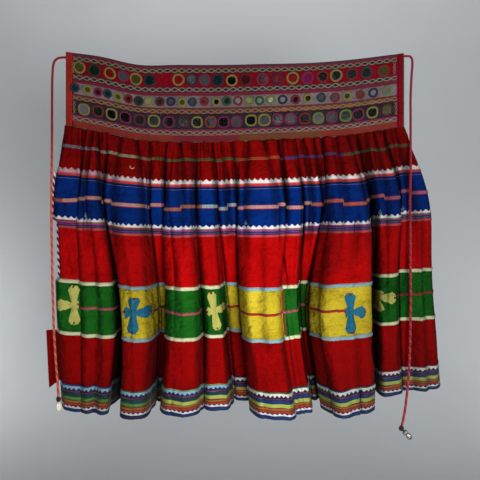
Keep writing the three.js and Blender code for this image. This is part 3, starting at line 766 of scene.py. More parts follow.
def thread(name, roughness, twist):
    """Embroidery thread in the colour of each point, with a twist along it."""
    m = Nodes(name)
    fuzz = m.noise(m.place, twist, 2.0, 0.6)
    worn = m.range(m.noise(m.place, 60.0), 0.3, 0.7, 0.85, 1.08)
    shade = m.math("MULTIPLY", m.range(fuzz, 0.3, 0.7, 0.72, 1.12), worn)
    m.bump(fuzz, 0.5, 0.0008)
    # The points' colours carry painted shade from the folds and on the waistband
    return m.finish(m.brightness(m.dye_and_painted_light(), shade), Roughness=roughness, Sheen_Weight=0.04,
                    Specular_IOR_Level=0.3)


def mirror_glass(name):
    """Old hand-cut mirror glass, spotted and dulled, whose colour at each point is a painted reflection."""
    m = Nodes(name)
    spots = m.noise(m.place, 420.0, 4.0, 0.7)
    m.bump(spots, 0.25, 0.0004)
    return m.finish(m.brightness(m.dye_and_painted_light(), m.range(spots, 0.35, 0.65, 0.55, 1.1)), Metallic=0.0,
                    Roughness=m.range(spots, 0.45, 0.7, 0.12, 0.35), Specular_IOR_Level=0.30)


def glossy(name, colour, roughness, metallic, spot_scale, bump=0.3):
    m = Nodes(name)
    spots = m.noise(m.place, spot_scale, 4.0, 0.6)
    m.bump(spots, bump, 0.0008)
    return m.finish(m.brightness(m.colour(colour), m.range(spots, 0.3, 0.7, 0.7, 1.1)),
                    Roughness=roughness, Metallic=metallic)


# Cottons: main colour, its darker and its faded dye, and how crumpled it is (1 if not given)
COTTON_LOOKS = {
    "red_cotton": ((0.77, 0.038, 0.045), (0.58, 0.015, 0.025), (0.86, 0.15, 0.12)),
    "blue_cotton": ((0.012, 0.19, 0.48), (0.005, 0.12, 0.34), (0.05, 0.28, 0.60)),
    "green_cotton": ((0.13, 0.43, 0.13), (0.09, 0.29, 0.10), (0.28, 0.48, 0.20), 1.3),
    "yellow_cotton": ((0.90, 0.80, 0.22), (0.72, 0.60, 0.10), (0.96, 0.88, 0.38), 1.5),
    "cream_cotton": ((0.78, 0.77, 0.60), (0.66, 0.64, 0.46), (0.84, 0.83, 0.70)),
    "cream_applique": ((0.82, 0.80, 0.44), (0.68, 0.68, 0.32), (0.88, 0.87, 0.58)),
    "light_blue_applique": ((0.20, 0.50, 0.62), (0.12, 0.38, 0.50), (0.34, 0.60, 0.68)),
    "navy_cotton": ((0.06, 0.10, 0.40), (0.04, 0.06, 0.28), (0.12, 0.18, 0.48)),
    "crimson_band": ((0.47, 0.035, 0.11), (0.32, 0.015, 0.06), (0.56, 0.09, 0.16), 0.6),
    "lilac_band": ((0.44, 0.39, 0.41), (0.29, 0.25, 0.28), (0.54, 0.49, 0.47), 0.6),
    "navy_band": ((0.17, 0.16, 0.20), (0.09, 0.08, 0.13), (0.25, 0.23, 0.26), 0.6),
    "magenta_backing": ((0.50, 0.08, 0.20), (0.34, 0.04, 0.12), (0.62, 0.18, 0.30), 0.6),
    "orange_binding": ((0.62, 0.15, 0.12), (0.46, 0.08, 0.07), (0.70, 0.24, 0.17), 0.6),
}
COTTON = {name: cotton(name, *looks) for name, looks in COTTON_LOOKS.items()}
THREAD = thread("embroidery_thread", 0.70, 900.0)
CORD = thread("cord_cotton", 0.8, 600.0)
GLASS = mirror_glass("mirror_glass")
SHELL = glossy("shell", (0.90, 0.86, 0.78), 0.35, 0.0, 300.0)
SILVER = glossy("silver_metal", (0.62, 0.60, 0.58), 0.32, 0.9, 500.0)
BLACK_THREAD = glossy("black_thread", (0.07, 0.07, 0.08), 0.7, 0.0, 900.0, 0.6)

# Thread colours
TINT = {
    "white": (0.92, 0.90, 0.86), "cream": (0.86, 0.82, 0.64), "tan": (0.74, 0.56, 0.38),
    "yellow": (0.86, 0.80, 0.36), "gold": (0.80, 0.62, 0.24), "olive": (0.46, 0.44, 0.22),
    "orange": (0.88, 0.36, 0.16), "red": (0.78, 0.10, 0.11), "dark_red": (0.46, 0.04, 0.07),
    "magenta": (0.76, 0.13, 0.44), "pink": (0.90, 0.52, 0.58), "purple": (0.45, 0.22, 0.56),
    "lilac": (0.70, 0.64, 0.72), "navy": (0.10, 0.12, 0.34), "indigo": (0.13, 0.15, 0.46),
    "blue": (0.10, 0.30, 0.66), "sky": (0.58, 0.74, 0.84), "teal": (0.05, 0.34, 0.40),
    "dark_teal": (0.05, 0.22, 0.26), "green": (0.20, 0.52, 0.20), "dark_green": (0.07, 0.25, 0.14),
    "lime": (0.66, 0.78, 0.32), "brown": (0.42, 0.20, 0.12), "black": (0.05, 0.05, 0.07),
    "grey": (0.48, 0.48, 0.50), "silver": (0.72, 0.74, 0.78), "rust": (0.62, 0.20, 0.12),
    "dark_grey": (0.24, 0.25, 0.28), "pale": (0.78, 0.78, 0.76),
}
TINT = {name: np.array(colour) for name, colour in TINT.items()}


def colour_of(tint):
    return TINT[tint] if isinstance(tint, str) else np.asarray(tint, float)


# Cloth of the skirt

COLUMNS_A_FOLD = 45
CLOTH_THICKNESS = 1.0
SEAM_OVERLAP = 0.35
ROW_STEP = 5.0
FINE_ROW_STEP = 3.4
PLACES = np.linspace(0, LAST_FOLD, LAST_FOLD * COLUMNS_A_FOLD + 1)
MARGIN_PLACES = np.linspace(-LEFT_MARGIN, 0, 17)[:-1]
NEXT_LEVEL = dict(zip(TIER, list(TIER.values())[1:]))


def tier(name, level, material_name, places=PLACES, step=ROW_STEP,
         dye_and_painted_light=None):
    """One sewn piece of the skirt, from a level to the next, as a thin shell on its solid's form."""
    top = max(TIER[level] - SEAM_OVERLAP, TIER["waist"])
    bottom = min(NEXT_LEVEL[level] + SEAM_OVERLAP, TIER["end"])
    rows = max(3, int(round((bottom - top) / step)) + 1)
    place, depth = np.meshgrid(places, np.linspace(top, bottom, rows))
    points = skirt_surface(place, depth)
    table = arc_table(skirt_base, -LEFT_MARGIN, (top + bottom) / 2, CUT_POINTS)
    distance = np.interp(places, *table)
    cloth = np.stack(np.broadcast_arrays(distance[None, :], depth), axis=-1)
    # Painted shade of the folds, multiplied into the colour of each point along with the tier's own dye and
    # painted shade where given
    shade = painted_fold_shade(place, depth)[..., None] * (np.ones(3) if dye_and_painted_light is None else dye_and_painted_light(depth))
    mesh = Mesh()
    shell(mesh, points, CLOTH_THICKNESS, cloth, shade)
    piece = mesh.make(name + "_cloth", COTTON[material_name], name)


def upper_dye_and_shade(depth):
    """The upper tier's red is darker: partly a darker dye, and partly painted shade for the light that
    falls off towards the waistband and the gathers' shadows.
    """
    return np.array((0.68, 0.60, 0.62))


def lower_dye(depth):
    """The lower tier's red, which darkens a little to the hem."""
    darker = mix(0.84, 0.77, (depth - TIER["lower_red"]) / (TIER["hem_stripes"] - TIER["lower_red"]))
    return darker[..., None] * np.array((1, 0.8, 0.8))


def make_tiers():
    tier("upper_red_tier", "waist", "red_cotton", step=FINE_ROW_STEP, dye_and_painted_light=upper_dye_and_shade)
    tier("upper_trim", "upper_trim", "orange_binding")
    tier("blue_tier", "blue", "blue_cotton")
    tier("lower_trim", "lower_trim", "navy_cotton")
    tier("middle_red_tier", "middle_red", "red_cotton")
    tier("upper_piping", "upper_piping", "cream_cotton")
    tier("lower_piping", "lower_piping", "cream_cotton")
    tier("lower_red_tier", "lower_red", "red_cotton", dye_and_painted_light=lower_dye,
         places=np.concatenate([MARGIN_PLACES, PLACES]))
    tier("hem_stripes", "hem_stripes", "navy_cotton", step=FINE_ROW_STEP)
    tier("hem_binding", "hem_binding", "navy_cotton")


# Patches: colour, the folds that each covers
PATCHES = [
    ("green", 0, 2), ("yellow", 2, 4), ("green", 4, 6), ("yellow", 6, 8), ("green", 8, 10),
    ("yellow", 10, 11), ("green", 11, LAST_FOLD),
]
PATCH_TRIM = 0.004


def make_patches():
    for number, (colour, start, end) in enumerate(PATCHES, 1):
        count = int(round((end - start) * COLUMNS_A_FOLD)) + 1
        places = np.linspace(start + PATCH_TRIM, end - PATCH_TRIM, count)
        cotton_name = f"{colour}_cotton"
        tier(f"{colour}_patch_{number}", "patches", cotton_name, places=places)


make_tiers()
make_patches()


# Waistband cloth

BACKING = 2.0
BACKING_FACE = BACKING / 2
STRIP = 1.2
END_BINDING = 14.0
BINDING_THICKNESS = 4.2
BINDING_CLOTH = 0.9
BINDING_LENGTH = 164.0
BINDING_COLUMNS = 24
BINDING_ROWS = 60
STRIP_INSET = 3.0
BAND_PUCKER = 0.35
BACKING_CELLS = (240, 40)
STRIP_CELLS = (180, 12)
STRIP_FACE = BACKING_FACE + SEAM_GAP + STRIP
BAND_FIRST = -WAIST_HALF + END_BINDING
BAND_LAST = WAIST_HALF - END_BINDING
# Strips: name, top and base as shares of the band's depth, material
BAND_STRIPS = [
    ("top_mirror_strip", 0.11, 0.285, "crimson_band"),
    ("middle_mirror_strip", 0.40, 0.555, "lilac_band"),
    ("low_mirror_strip", 0.64, 0.83, "navy_band"),
    ("waistband_base_strip", 0.915, 0.99, "orange_binding"),
]


def band_piece(name, node, cotton_name, half, top, base, thickness, lift, cells):
    across, share = np.meshgrid(np.linspace(-half, half, cells[0]), np.linspace(top, base, cells[1]))
    points = band_surface(across, share)
    wander = np.sin(across * 0.42 + 2.0 * np.sin(share * 31))
    points[..., 1] -= BAND_PUCKER * wander * np.sin(share * 60 + across * 0.05)
    mesh = Mesh()
    shell(mesh, points, thickness, np.stack([across, -points[..., 2]], axis=-1), lift=lift)
    piece = mesh.make(name, COTTON[cotton_name], node)


def binding_wall(side, shrink):
    """A wall of the flat loop that is folded round the band's end."""
    turn = around(BINDING_COLUMNS)[None, :]
    share = np.linspace(0, 1, BINDING_ROWS)[:, None]
    half_width = END_BINDING / 2 - SEAM_GAP / 2 - shrink
    half_depth = BINDING_THICKNESS / 2 - shrink
    sideways = np.sign(np.cos(turn)) * np.abs(np.cos(turn)) ** 0.45 * half_width
    out = np.sign(np.sin(turn)) * np.abs(np.sin(turn)) ** 0.6 * half_depth
    points = band_surface(side * (WAIST_HALF - END_BINDING / 2 + SEAM_GAP / 2) + sideways, share)
    points[..., 1] -= out * (1 + 0.10 * np.sin(share * 75))
    cloth = np.stack(np.broadcast_arrays(sideways, share * BINDING_LENGTH), axis=-1)
    return points, cloth


def make_end_binding(name, cotton_name, side):
    outer, cloth = binding_wall(side, 0.0)
    inner, _ = binding_wall(side, BINDING_CLOTH)
    first, after, wall = ring_grid(*outer.shape[:2])
    under = first.size
    rims = [quads(first[0], under + first[0], under + after[0], after[0]),
            quads(first[-1], after[-1], under + after[-1], under + first[-1])]
    mesh = Mesh()
    mesh.add(np.stack([outer, inner]), np.concatenate([wall, under + wall[:, ::-1], *rims]),
             cloth=np.stack([cloth, cloth]))
    piece = mesh.make(name + "_cloth", COTTON[cotton_name], name)


def make_band():
    band_piece("waistband_cloth", "waistband_backing", "magenta_backing", BAND_LAST, 0, 1, BACKING, 0.0,
               BACKING_CELLS)
    lift = BACKING_FACE + SEAM_GAP + STRIP / 2
    for name, top, base, cotton_name in BAND_STRIPS:
        band_piece(name + "_cloth", name, cotton_name, BAND_LAST - STRIP_INSET, top, base, STRIP, lift,
                   STRIP_CELLS)
    make_end_binding("left_end_binding", "orange_binding", -1)
    make_end_binding("right_end_binding", "crimson_band", 1)


make_band()


# Mirrors: across in millimetres, colour of the ring and of the middle; the middle's colour paints in the
# reflection each mirror shows, on glass that is itself dulled
TOP_MIRRORS = [
    (-340, "yellow", "olive"), (-307, "dark_teal", "dark_green"), (-273, "yellow", "red"),
    (-244, "magenta", "grey"), (-216, "yellow", "olive"), (-186, "dark_teal", "dark_teal"),
    (-124, "yellow", "red"), (-95, "navy", "grey"), (-67, "magenta", "grey"),
    (-38, "dark_teal", "dark_teal"), (-7, "yellow", "black"), (23, "dark_red", "dark_red"),
    (60, "magenta", "dark_red"), (92, "navy", "red"), (126, "yellow", "red"),
    (158, "magenta", "magenta"), (191, "red", "black"), (221, "yellow", "black"),
    (255, "rust", "dark_grey"), (287, "teal", "dark_grey"), (324, "red", "olive"),
]
MIDDLE_MIRRORS = [
    (-350, "teal", "dark_grey"), (-322, "yellow", "olive"), (-299, "magenta", "dark_red"),
    (-278, "teal", "dark_grey"), (-255, "yellow", "olive"), (-232, "red", "dark_red"),
    (-210, "dark_green", "dark_grey"), (-188, "yellow", "cream"), (-164, "brown", "dark_red"),
    (-140, "navy", "grey"), (-116, "yellow", "olive"), (-93, "teal", "grey"), (-67, "red", "rust"),
    (-41, "yellow", "black"), (-18, "green", "dark_grey"), (7, "red", "pale"), (31, "lime", "cream"),
    (54, "green", "pale"), (78, "lime", "cream"), (104, "navy", "pale"), (132, "red", "black"),
    (159, "yellow", "black"), (189, "teal", "grey"), (219, "red", "grey"), (245, "yellow", "black"),
    (274, "red", "olive"), (302, "navy", "pale"), (332, "lime", "lilac"),
]
LOW_MIRRORS = [
    (-330, "yellow", "lilac"), (-299, "red", "dark_green"), (-269, "yellow", "black"),
    (-239, "magenta", "black"), (-208, "rust", "dark_grey"), (-177, "yellow", "black"),
    (-145, "magenta", "black"), (-112, "dark_red", "dark_grey"), (-83, "yellow", "black"),
    (-53, "orange", "grey"), (-25, "magenta", "black"), (3, "magenta", "grey"),
    (35, "yellow", "black"), (64, "yellow", "grey"), (93, "magenta", "black"),
    (121, "magenta", "grey"), (152, "red", "black"), (182, "lime", "grey"), (211, "magenta", "grey"),
    (242, "lime", "black"), (269, "magenta", "black"), (300, "yellow", "black"), (332, "dark_red", "olive"),
]
# Rows of mirrors: mirrors, share of the band at the row's middle, radius of the ring's middle,
# half width of the ring, squareness of the ring
MIRROR_ROWS = [
    (TOP_MIRRORS, 0.197, 11.3, 2.1, 0.0), (MIDDLE_MIRRORS, 0.477, 8.0, 2.5, 0.0),
    (LOW_MIRRORS, 0.735, 11.2, 2.1, 0.35),
]
RING_STEPS = 36
DISC_STEPS = 20
RING_STITCHES = 18
# Painted shade: all threads on the waistband are darkened, as if less light reached it
BAND_PAINTED_SHADE = 0.50
# Painted reflection: the mirror middles' colours are darkened by this share
GLASS_TONE = 0.50
GLASS_FACE = STRIP_FACE + 0.7


def make_disc(glass, across, share, radius, depth, tint):
    """A glass disc on the band, a little tilted, with a bevelled rim."""
    turn = around(DISC_STEPS)
    tilt_x, tilt_z = random.normal(0, 0.05, 2)
    layers = []
    for share_out, dome in ((1.0, 0.0), (0.6, 0.02)):
        x = radius * share_out * np.cos(turn)
        z = radius * share_out * np.sin(turn)
        lift = GLASS_FACE + dome + tilt_x * x + tilt_z * z
        layers.append(on_band(across + x, share + z / depth, lift)[0])
    middle = on_band([across], [share], GLASS_FACE + 0.03)[0]
    here = np.arange(DISC_STEPS)
    after = np.roll(here, -1)
    centre = np.full(DISC_STEPS, 2 * DISC_STEPS)
    wall = quads(here, here + DISC_STEPS, after + DISC_STEPS, after)
    fan = quads(here + DISC_STEPS, after + DISC_STEPS, centre, centre)
    # The disc's colour is a painted reflection of what the mirror shows
    glass.add(np.concatenate([*layers, middle]), np.concatenate([wall, fan]), TINT[tint] * GLASS_TONE)


def make_mirrors():
    rings = Mesh()
    glass = Mesh()
    turn = around(RING_STEPS)
    stitch = np.abs(np.sin(turn * RING_STITCHES / 2))
    for mirrors, row_share, radius, half_width, squareness in MIRROR_ROWS:
        square = 1 + squareness * 0.28 * np.abs(np.sin(2 * turn)) ** 1.5
        for across, ring_tint, glass_and_reflection_tint in mirrors:
            size = radius * (1 + random.uniform(-0.05, 0.05))
            share = row_share + random.uniform(-0.008, 0.008)
            reach = size * square * (1 + 0.025 * np.sin(3 * turn + random.uniform(0, 6)))
            depth = band_base(across) - band_top(across)
            points, normals = on_band(across + reach * np.cos(turn), share + reach * np.sin(turn) / depth,
                                      STRIP_FACE + 0.1)
            # Ring threads darkened by the waistband's painted shade
            tint = TINT[ring_tint] * BAND_PAINTED_SHADE * (0.80 + 0.25 * stitch)[:, None]
            sweep(rings, points[None], normals[None], half_width + 0.25 * stitch, 1.5 + 0.5 * stitch,
                  tint[None], closed=True)
            make_disc(glass, across, share, size - half_width * 0.5, depth, glass_and_reflection_tint)
    rings.make("mirror_thread_rings", THREAD)
    glass.make("mirror_glass_discs", GLASS, smooth=False)


make_mirrors()


# Drawstrings

STRAND_RADIUS = 1.55
STRAND_OFFSET = 1.28
CORD_PITCH = 17.0
TWIST_SIDES = 6
CORD_SPACING = 1.6
ROUTE_STEPS = 20
TURNED_ROWS = 40
TURNED_SIDES = 32
SHELL_SIDES = 48


def smooth_route(route, spacing):
    """Even points on a smooth curve through the route."""
    route = np.asarray(route, float)
    padded = np.concatenate([[2 * route[0] - route[1]], route, [2 * route[-1] - route[-2]]])
    share = np.linspace(0, 1, ROUTE_STEPS, endpoint=False)[:, None]
    pieces = [smooth_between(*padded[k:k + 4], share) for k in range(len(route) - 1)]
    curve = np.concatenate([*pieces, route[-1:]])
    lengths = run_lengths(curve)
    even = np.linspace(0, lengths[-1], int(lengths[-1] / spacing) + 1)
    return np.stack([np.interp(even, lengths, curve[:, axis]) for axis in range(3)], axis=1), even


def frames_along(points):
    """Two directions square to a line and to each other, at each of its points."""
    forward = unit(np.gradient(points, axis=0))
    side = unit(np.cross(forward, (0, -1, 0)))
    return side, np.cross(side, forward)


def twisted(mesh, points, even, offset, radius, tints, pitch):
    """Round strands laid round each other along a line, closed at their ends."""
    side, up = frames_along(points)
    corner, _, wall = ring_grid(len(points), TWIST_SIDES)
    caps = [[ring[0], ring[k], ring[k + 1], ring[k + 1]]
            for ring in (corner[0], corner[-1][::-1]) for k in range(1, TWIST_SIDES - 1)]
    round_turn = around(TWIST_SIDES)[None, :, None]
    for number, tint in enumerate(tints):
        turn = (2 * np.pi * (even / pitch + number / len(tints)))[:, None]
        strand = points + offset * (side * np.cos(turn) + up * np.sin(turn))
        across, above = [axis[:, None] for axis in frames_along(strand)]
        rings = strand[:, None] + radius * (across * np.cos(round_turn) + above * np.sin(round_turn))
        steps = np.repeat(np.linspace(0, len(points), len(points)), TWIST_SIDES)
        tints_here = np.repeat(np.broadcast_to(tint, (len(points), 3)), TWIST_SIDES, axis=0)
        mesh.add(rings, np.concatenate([wall, caps]), tints_here, np.stack([steps, steps], axis=1))


def drawstring(name, node, route, top, lows, change, speckle):
    """A limp cord. Its strands' colour changes from top to lows between two lengths along it."""
    points, even = smooth_route(route, CORD_SPACING)
    share = ease(even, *change)[:, None]
    speckles = 1 + speckle * np.sin(even * 0.9)[:, None]
    mesh = Mesh()
    strands = [mix(np.array([top]), np.array([low]), share) * speckles for low in lows]
    twisted(mesh, points, even, STRAND_OFFSET, STRAND_RADIUS, strands, CORD_PITCH)
    piece = mesh.make(name, CORD, node)
    path = [tuple(point * MM) for point in points[::4]]
    path[-1] = tuple(points[-1] * MM)


def turned_piece(name, node, profile, hang, material, shape, sides=TURNED_SIDES):
    """A round piece on its solid's centre, hung along a direction in the plane of the front."""
    profile = np.asarray(profile, float)
    share = np.linspace(0, len(profile) - 1, TURNED_ROWS)
    radius, height = [smooth_through(range(len(profile)), values, share)[:, None] for values in profile.T]
    turn = around(sides)[None]
    r = np.maximum(radius, 0.02) * shape(height, turn) + 0 * turn
    down = np.array([math.sin(hang), 0, -math.cos(hang)])
    sideways = np.array([math.cos(hang), 0, math.sin(hang)])
    low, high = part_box(node)
    points = (np.array((low + high) / 2) / MM + (r * np.cos(turn))[..., None] * sideways
              + (r * np.sin(turn))[..., None] * np.array([0, 1, 0]) - (height + 0 * r)[..., None] * down)
    mesh = Mesh()
    mesh.add(points, ring_grid(*r.shape)[2])
    return mesh.make(name, material, node)


def wound(height, turn):
    return 1 + 0.10 * np.sin(height * 3.2 + turn) + 0.02 * np.sin(turn * 9)


def cowrie(height, turn):
    off_mouth = np.abs(turn - 1.5 * np.pi)
    mouth = np.exp(-((off_mouth / 0.16) ** 2)) * np.exp(-(height / 6.5) ** 4)
    ridges = 1 + 0.04 * np.sin(height * 3.4) * np.exp(-((off_mouth / 0.5) ** 2))
    return ridges * (1 - 0.42 * mouth)


def ribbed(height, turn):
    return 1 + 0.07 * np.cos(turn * 8) + 0 * height


LEFT_HANG = 0.05
RIGHT_HANG = -0.2
CHARM_HANG = 0.75
# Radii and heights of the end pieces, from their top ends
KNOT_PROFILE = [(0, -5), (3.6, -4.2), (4.6, 0), (3.6, 4.2), (0, 5)]
SHELL_PROFILE = [(0, -9.5), (3.6, -8.2), (6.2, -2), (5.8, 4), (3.2, 8.4), (0, 9.5)]
BEAD_PROFILE = [(0, -5), (3.8, -4.1), (4.8, 0), (3.8, 4.1), (0, 5)]
CHARM_PROFILE = [(0, -12), (3.6, -11), (5.4, -5), (3.8, 2), (5.4, 7), (2.8, 11), (0, 12)]


def make_drawstrings():
    knot = turned_piece("left_cord_knot", "left_end_knot", KNOT_PROFILE, LEFT_HANG, BLACK_THREAD,
                        wound)
    shell_piece = turned_piece("left_cord_shell", "left_end_shell", SHELL_PROFILE, LEFT_HANG, SHELL,
                               cowrie, SHELL_SIDES)
    bead = turned_piece("right_cord_bead", "right_end_bead", BEAD_PROFILE, RIGHT_HANG, BLACK_THREAD,
                        wound)
    charm = turned_piece("right_cord_charm", "right_end_charm", CHARM_PROFILE, CHARM_HANG, SILVER,
                         ribbed)
    drawstring("left_cord", "left_drawstring", LEFT_CORD_ROUTE, (0.50, 0.09, 0.10),
               [(0.72, 0.30, 0.24), (0.66, 0.20, 0.17), (0.78, 0.42, 0.32)], (150, 300), 0.0)
    drawstring("right_cord", "right_drawstring", RIGHT_CORD_ROUTE, (0.52, 0.10, 0.16),
               [(0.50, 0.07, 0.12), (0.56, 0.12, 0.18), (0.62, 0.22, 0.26)], (300, 520), 0.12)


make_drawstrings()


# Sewing on the skirt: depths are down the cloth, and lifts are off the cloth's face

CLOTH_FACE = CLOTH_THICKNESS / 2


def across_tint(place, *stops):
    """Colour by the place along the skirt: stops are (place where it ends, colour)."""
    ends = [stop[0] for stop in stops]
    colours = np.array([TINT[stop[1]] for stop in stops])
    return colours[np.clip(np.searchsorted(ends, place), 0, len(stops) - 1)]


def ribbon(mesh, place, top, base, lift, rise, tint):
    """A flat strip sewn on the skirt between two depths, with slightly rounded edges."""
    place, top, base = matched(place, top, base)
    depth = np.stack([mix(top, base, share) for share in (0.0, 0.14, 0.86, 1.0)])
    lifts = CLOTH_FACE + lift + rise * np.array([[0.0], [1.0], [1.0], [0.0]]) + 0 * depth
    points, _ = on_skirt(place, depth, lifts)
    # Painted shade of the folds on the strip's colour
    shade = painted_fold_shade(place, depth)[..., None]
    mesh.add(points, grid_faces(*depth.shape), (colour_of(tint) * shade).reshape(-1, 3))


def line(mesh, place, depth, half_width, rise, tint, lift=0.25):
    """A thread or narrow cord along the skirt."""
    points, normals = on_skirt(place, depth, CLOTH_FACE + lift)
    # Painted shade of the folds on the thread's colour
    tint = colour_of(tint) * painted_fold_shade(place, depth)[..., None]
    sweep(mesh, points[None], normals[None], half_width, rise, tint[None])


def stitches(mesh, row, starts, distances, depths, radius, tint, lift=0.3):
    """Short threads: distances and depths of their points are from each start on the row."""
    distance = np.asarray(starts, float)[:, None] + np.asarray(distances, float)
    place = row.place(distance)
    depth = row.depth + np.asarray(depths, float) + 0 * distance
    points, normals = on_skirt(place, depth, CLOTH_FACE + lift)
    # Painted shade of the folds on the stitches' colour
    sweep(mesh, points, normals, radius, radius, colour_of(tint) * painted_fold_shade(place, depth)[..., None])


def saw(distance, pitch):
    return 1 - np.abs(2 * np.mod(distance / pitch, 1.0) - 1)


def pleat_offset(place, size):
    """Each pleat's trims sit a little higher or lower than its neighbours'."""
    return size * np.sin(pleat_at(place)[2] * 2.4 + 0.8)


def even_places(depth, spacing):
    row = Row(depth)
    distance = np.arange(0, row.total, spacing)
    return row, distance, row.place(distance)


def make_narrow_braid(mesh):
    """Narrow braid on the upper red tier: its thread changes along the waist."""
    _, distance, place = even_places(39, 1.6)
    tint = 0.72 * across_tint(place, (1.6, "lilac"), (2.6, "cream"), (3.4, "tan"), (7.2, "olive"),
                              (8.2, "orange"), (10.6, "purple"), (LAST_FOLD, "olive"))
    depth = 39.0 + pleat_offset(place, 1.8)
    ribbon(mesh, place, depth - 2.4, depth + 2.4, 0, 0.5, tint * 0.62)
    for edge in (-2.5, 2.5):
        line(mesh, place, depth + edge, 0.5, 0.6, tint)
    zigzag = depth + 1.9 * np.sign(np.sin(distance * 2 * np.pi / 4.8))
    line(mesh, place, zigzag, 0.55, 0.9, tint * 1.15, 0.5)


def make_upper_trim(mesh):
    """Saw-edged white trim over the blue, its orange strip and the thread line under it."""
    _, distance, place = even_places(88, 1.3)
    offset = pleat_offset(place, 0.8)
    tips = 87.0 - 5.5 * saw(distance + 2.0 * np.sin(distance * 0.05), 13.5) + offset
    worn = 1 + 0.06 * np.sin(distance * 0.21) * np.sin(distance * 0.037)
    pinker = (1 - ease(place, 1.6, 3.4))[:, None]
    white = mix(np.array([0.90, 0.87, 0.86]), np.array([0.74, 0.58, 0.64]), pinker) * worn[:, None]
    ribbon(mesh, place, tips, 92.0 + offset, 0.1, 0.7, white)
    ribbon(mesh, place, 92.0 + offset, 98.5 + offset, 0.05, 0.6, TINT["orange"] * (0.86, 0.55, 0.80))
    line(mesh, place, 93.2 + offset, 0.5, 0.7, "pink", 0.6)
    line(mesh, place, 97.6 + offset, 0.5, 0.7, "rust", 0.6)
    line(mesh, place, 104.0 + offset, 0.35, 0.45, TINT["lilac"] * 0.75)


def make_blue_braid(mesh):
    """Braid along the blue tier: two threads that cross between two lines."""
    _, distance, place = even_places(142, 1.4)
    offset = pleat_offset(place, 4.5) + 5.0 * np.exp(-((place - 0.4) / 0.3) ** 2)
    main = across_tint(place, (0.4, "dark_red"), (3.6, "pink"), (4.2, "magenta"), (5.4, "rust"),
                       (6.8, "sky"), (9.6, "pink"), (11.0, "red"), (LAST_FOLD, "magenta"))
    ribbon(mesh, place, 138.4 + offset, 145.2 + offset, 0, 0.5, main * 0.55)
    line(mesh, place, 138.2 + offset, 0.6, 0.7, main * 0.9)
    line(mesh, place, 145.4 + offset, 0.6, 0.7, TINT["red"] * 0.9)
    swing = 2.4 * np.clip(np.sin(distance * 2 * np.pi / 7.0) * 1.8, -1, 1)
    for side in (1, -1):
        line(mesh, place, 141.8 + offset + side * swing, 0.6, 0.9, mix(TINT["cream"], main, 0.5), 0.5)


# Small outlined triangles over the lower trim: place along the skirt
TRIANGLE_PLACES = (0.72, 1.35, 3.1, 7.36, 11.4, 12.3)


def make_triangles(mesh):
    row = Row(181)
    starts = row.distance(TRIANGLE_PLACES)
    for scale in (1.0, 0.5):
        across = scale * np.array([-3.6, 0, 3.6, -3.6, -1.8])
        down = scale * np.array([-2.5, -11, -2.5, -2.5, -6]) - 1.0
        stitches(mesh, row, starts, across, down, 0.45, "silver")


def make_lower_trim(mesh):
    """Saw-edged trim under the blue, with its strips."""
    row, distance, place = even_places(187, 1.3)
    offset = pleat_offset(place, 0.8)
    tips = 184.5 - 5.0 * saw(distance + 1.5 * np.sin(distance * 0.07), 13.0) + offset
    ribbon(mesh, place, tips, 187.5 + offset, 0.1, 0.7, (0.90, 0.89, 0.90))
    first = across_tint(place, (0.9, "rust"), (2.2, "tan"), (3.6, "orange"), (4.6, "pink"), (5.6, "tan"),
                        (7.8, "pink"), (9.4, "tan"), (10.8, "magenta"), (LAST_FOLD, "tan"))
    second = across_tint(place, (2, "magenta"), (4, "navy"), (5.6, "purple"), (7, "magenta"),
                         (9, "purple"), (LAST_FOLD, "indigo"))
    for top, base, rise, tint in ((187.5, 190.3, 0.6, first * 0.85), (190.4, 194.0, 0.6, second * 0.8),
                                  (194.0, 199.6, 0.5, (0.15, 0.10, 0.36)),
                                  (199.6, 205.0, 0.5, (0.74, 0.24, 0.25))):
        ribbon(mesh, place, top + offset, base + offset, 0, rise, tint)
    dots = np.arange(1.0, row.total, 3.4)
    stitches(mesh, row, dots, [-0.8, 0, 0.8], [5.2, 5.0, 5.2], 0.5, "pink")
    stitches(mesh, row, dots + 1.2, [-0.7, 0, 0.7], [9.6, 9.6, 9.6], 0.4, "lilac")
    line(mesh, place, 204.6 + offset, 0.5, 0.6, "rust", 0.4)


def make_pipings(mesh):
    """Pipings over and under the patches: cream on the green ones, pale blue on the yellow ones."""
    _, distance, place = even_places(360, 1.4)
    wave = 0.5 * np.sin(distance * 0.045) + 0.3 * np.sin(distance * 0.19)
    tint = np.zeros((*place.shape, 3))
    for colour, start, end in PATCHES:
        inside = (place >= start) & (place <= end)
        tint[inside] = (0.84, 0.85, 0.68) if colour == "green" else (0.52, 0.66, 0.70)
    for depth in (310.5, 412.5):
        line(mesh, place, depth + wave, 3.6, 1.9, tint, -0.2)


# Narrow cord across the patches: the stretches that no cross covers
PATCH_MIDDLE = 362.0
CORD_STRETCHES = [
    (face_place(0, 1.0), face_place(2, 0.25)), (face_place(2, 0.92), face_place(5, 0.15)),
    (face_place(5, 0.95), face_place(10, 0.575)), (face_place(10, 0.86), face_place(11, -0.1)),
    (face_place(11, 0.80), LAST_FOLD),
]
PATCH_SEAM_PLACE = 8.0


def make_patch_cord(mesh):
    _, distance, place = even_places(PATCH_MIDDLE, 1.3)
    depth = PATCH_MIDDLE - 2.0 + 1.2 * np.sin(distance * 0.03) + pleat_offset(place, 0.8)
    pale = across_tint(place, (2, "pink"), (4, "dark_red"), (6, "pink"), (7.7, "red"), (10, "pink"),
                       (11, "red"), (LAST_FOLD, "rust"))
    tint = (pale * 0.52 + TINT["red"] * 0.25) * (1 + 0.12 * np.sin(distance * 1.6))[:, None]
    for start, end in CORD_STRETCHES:
        part = (place >= start) & (place <= end)
        line(mesh, place[part], depth[part], 2.7, 1.6, tint[part], 0)
    seam = np.linspace(TIER["patches"] + 3, TIER["lower_piping"] - 3, 60)
    line(mesh, np.full(60, PATCH_SEAM_PLACE), seam, 2.2, 1.3, (0.48, 0.07, 0.09), 0)


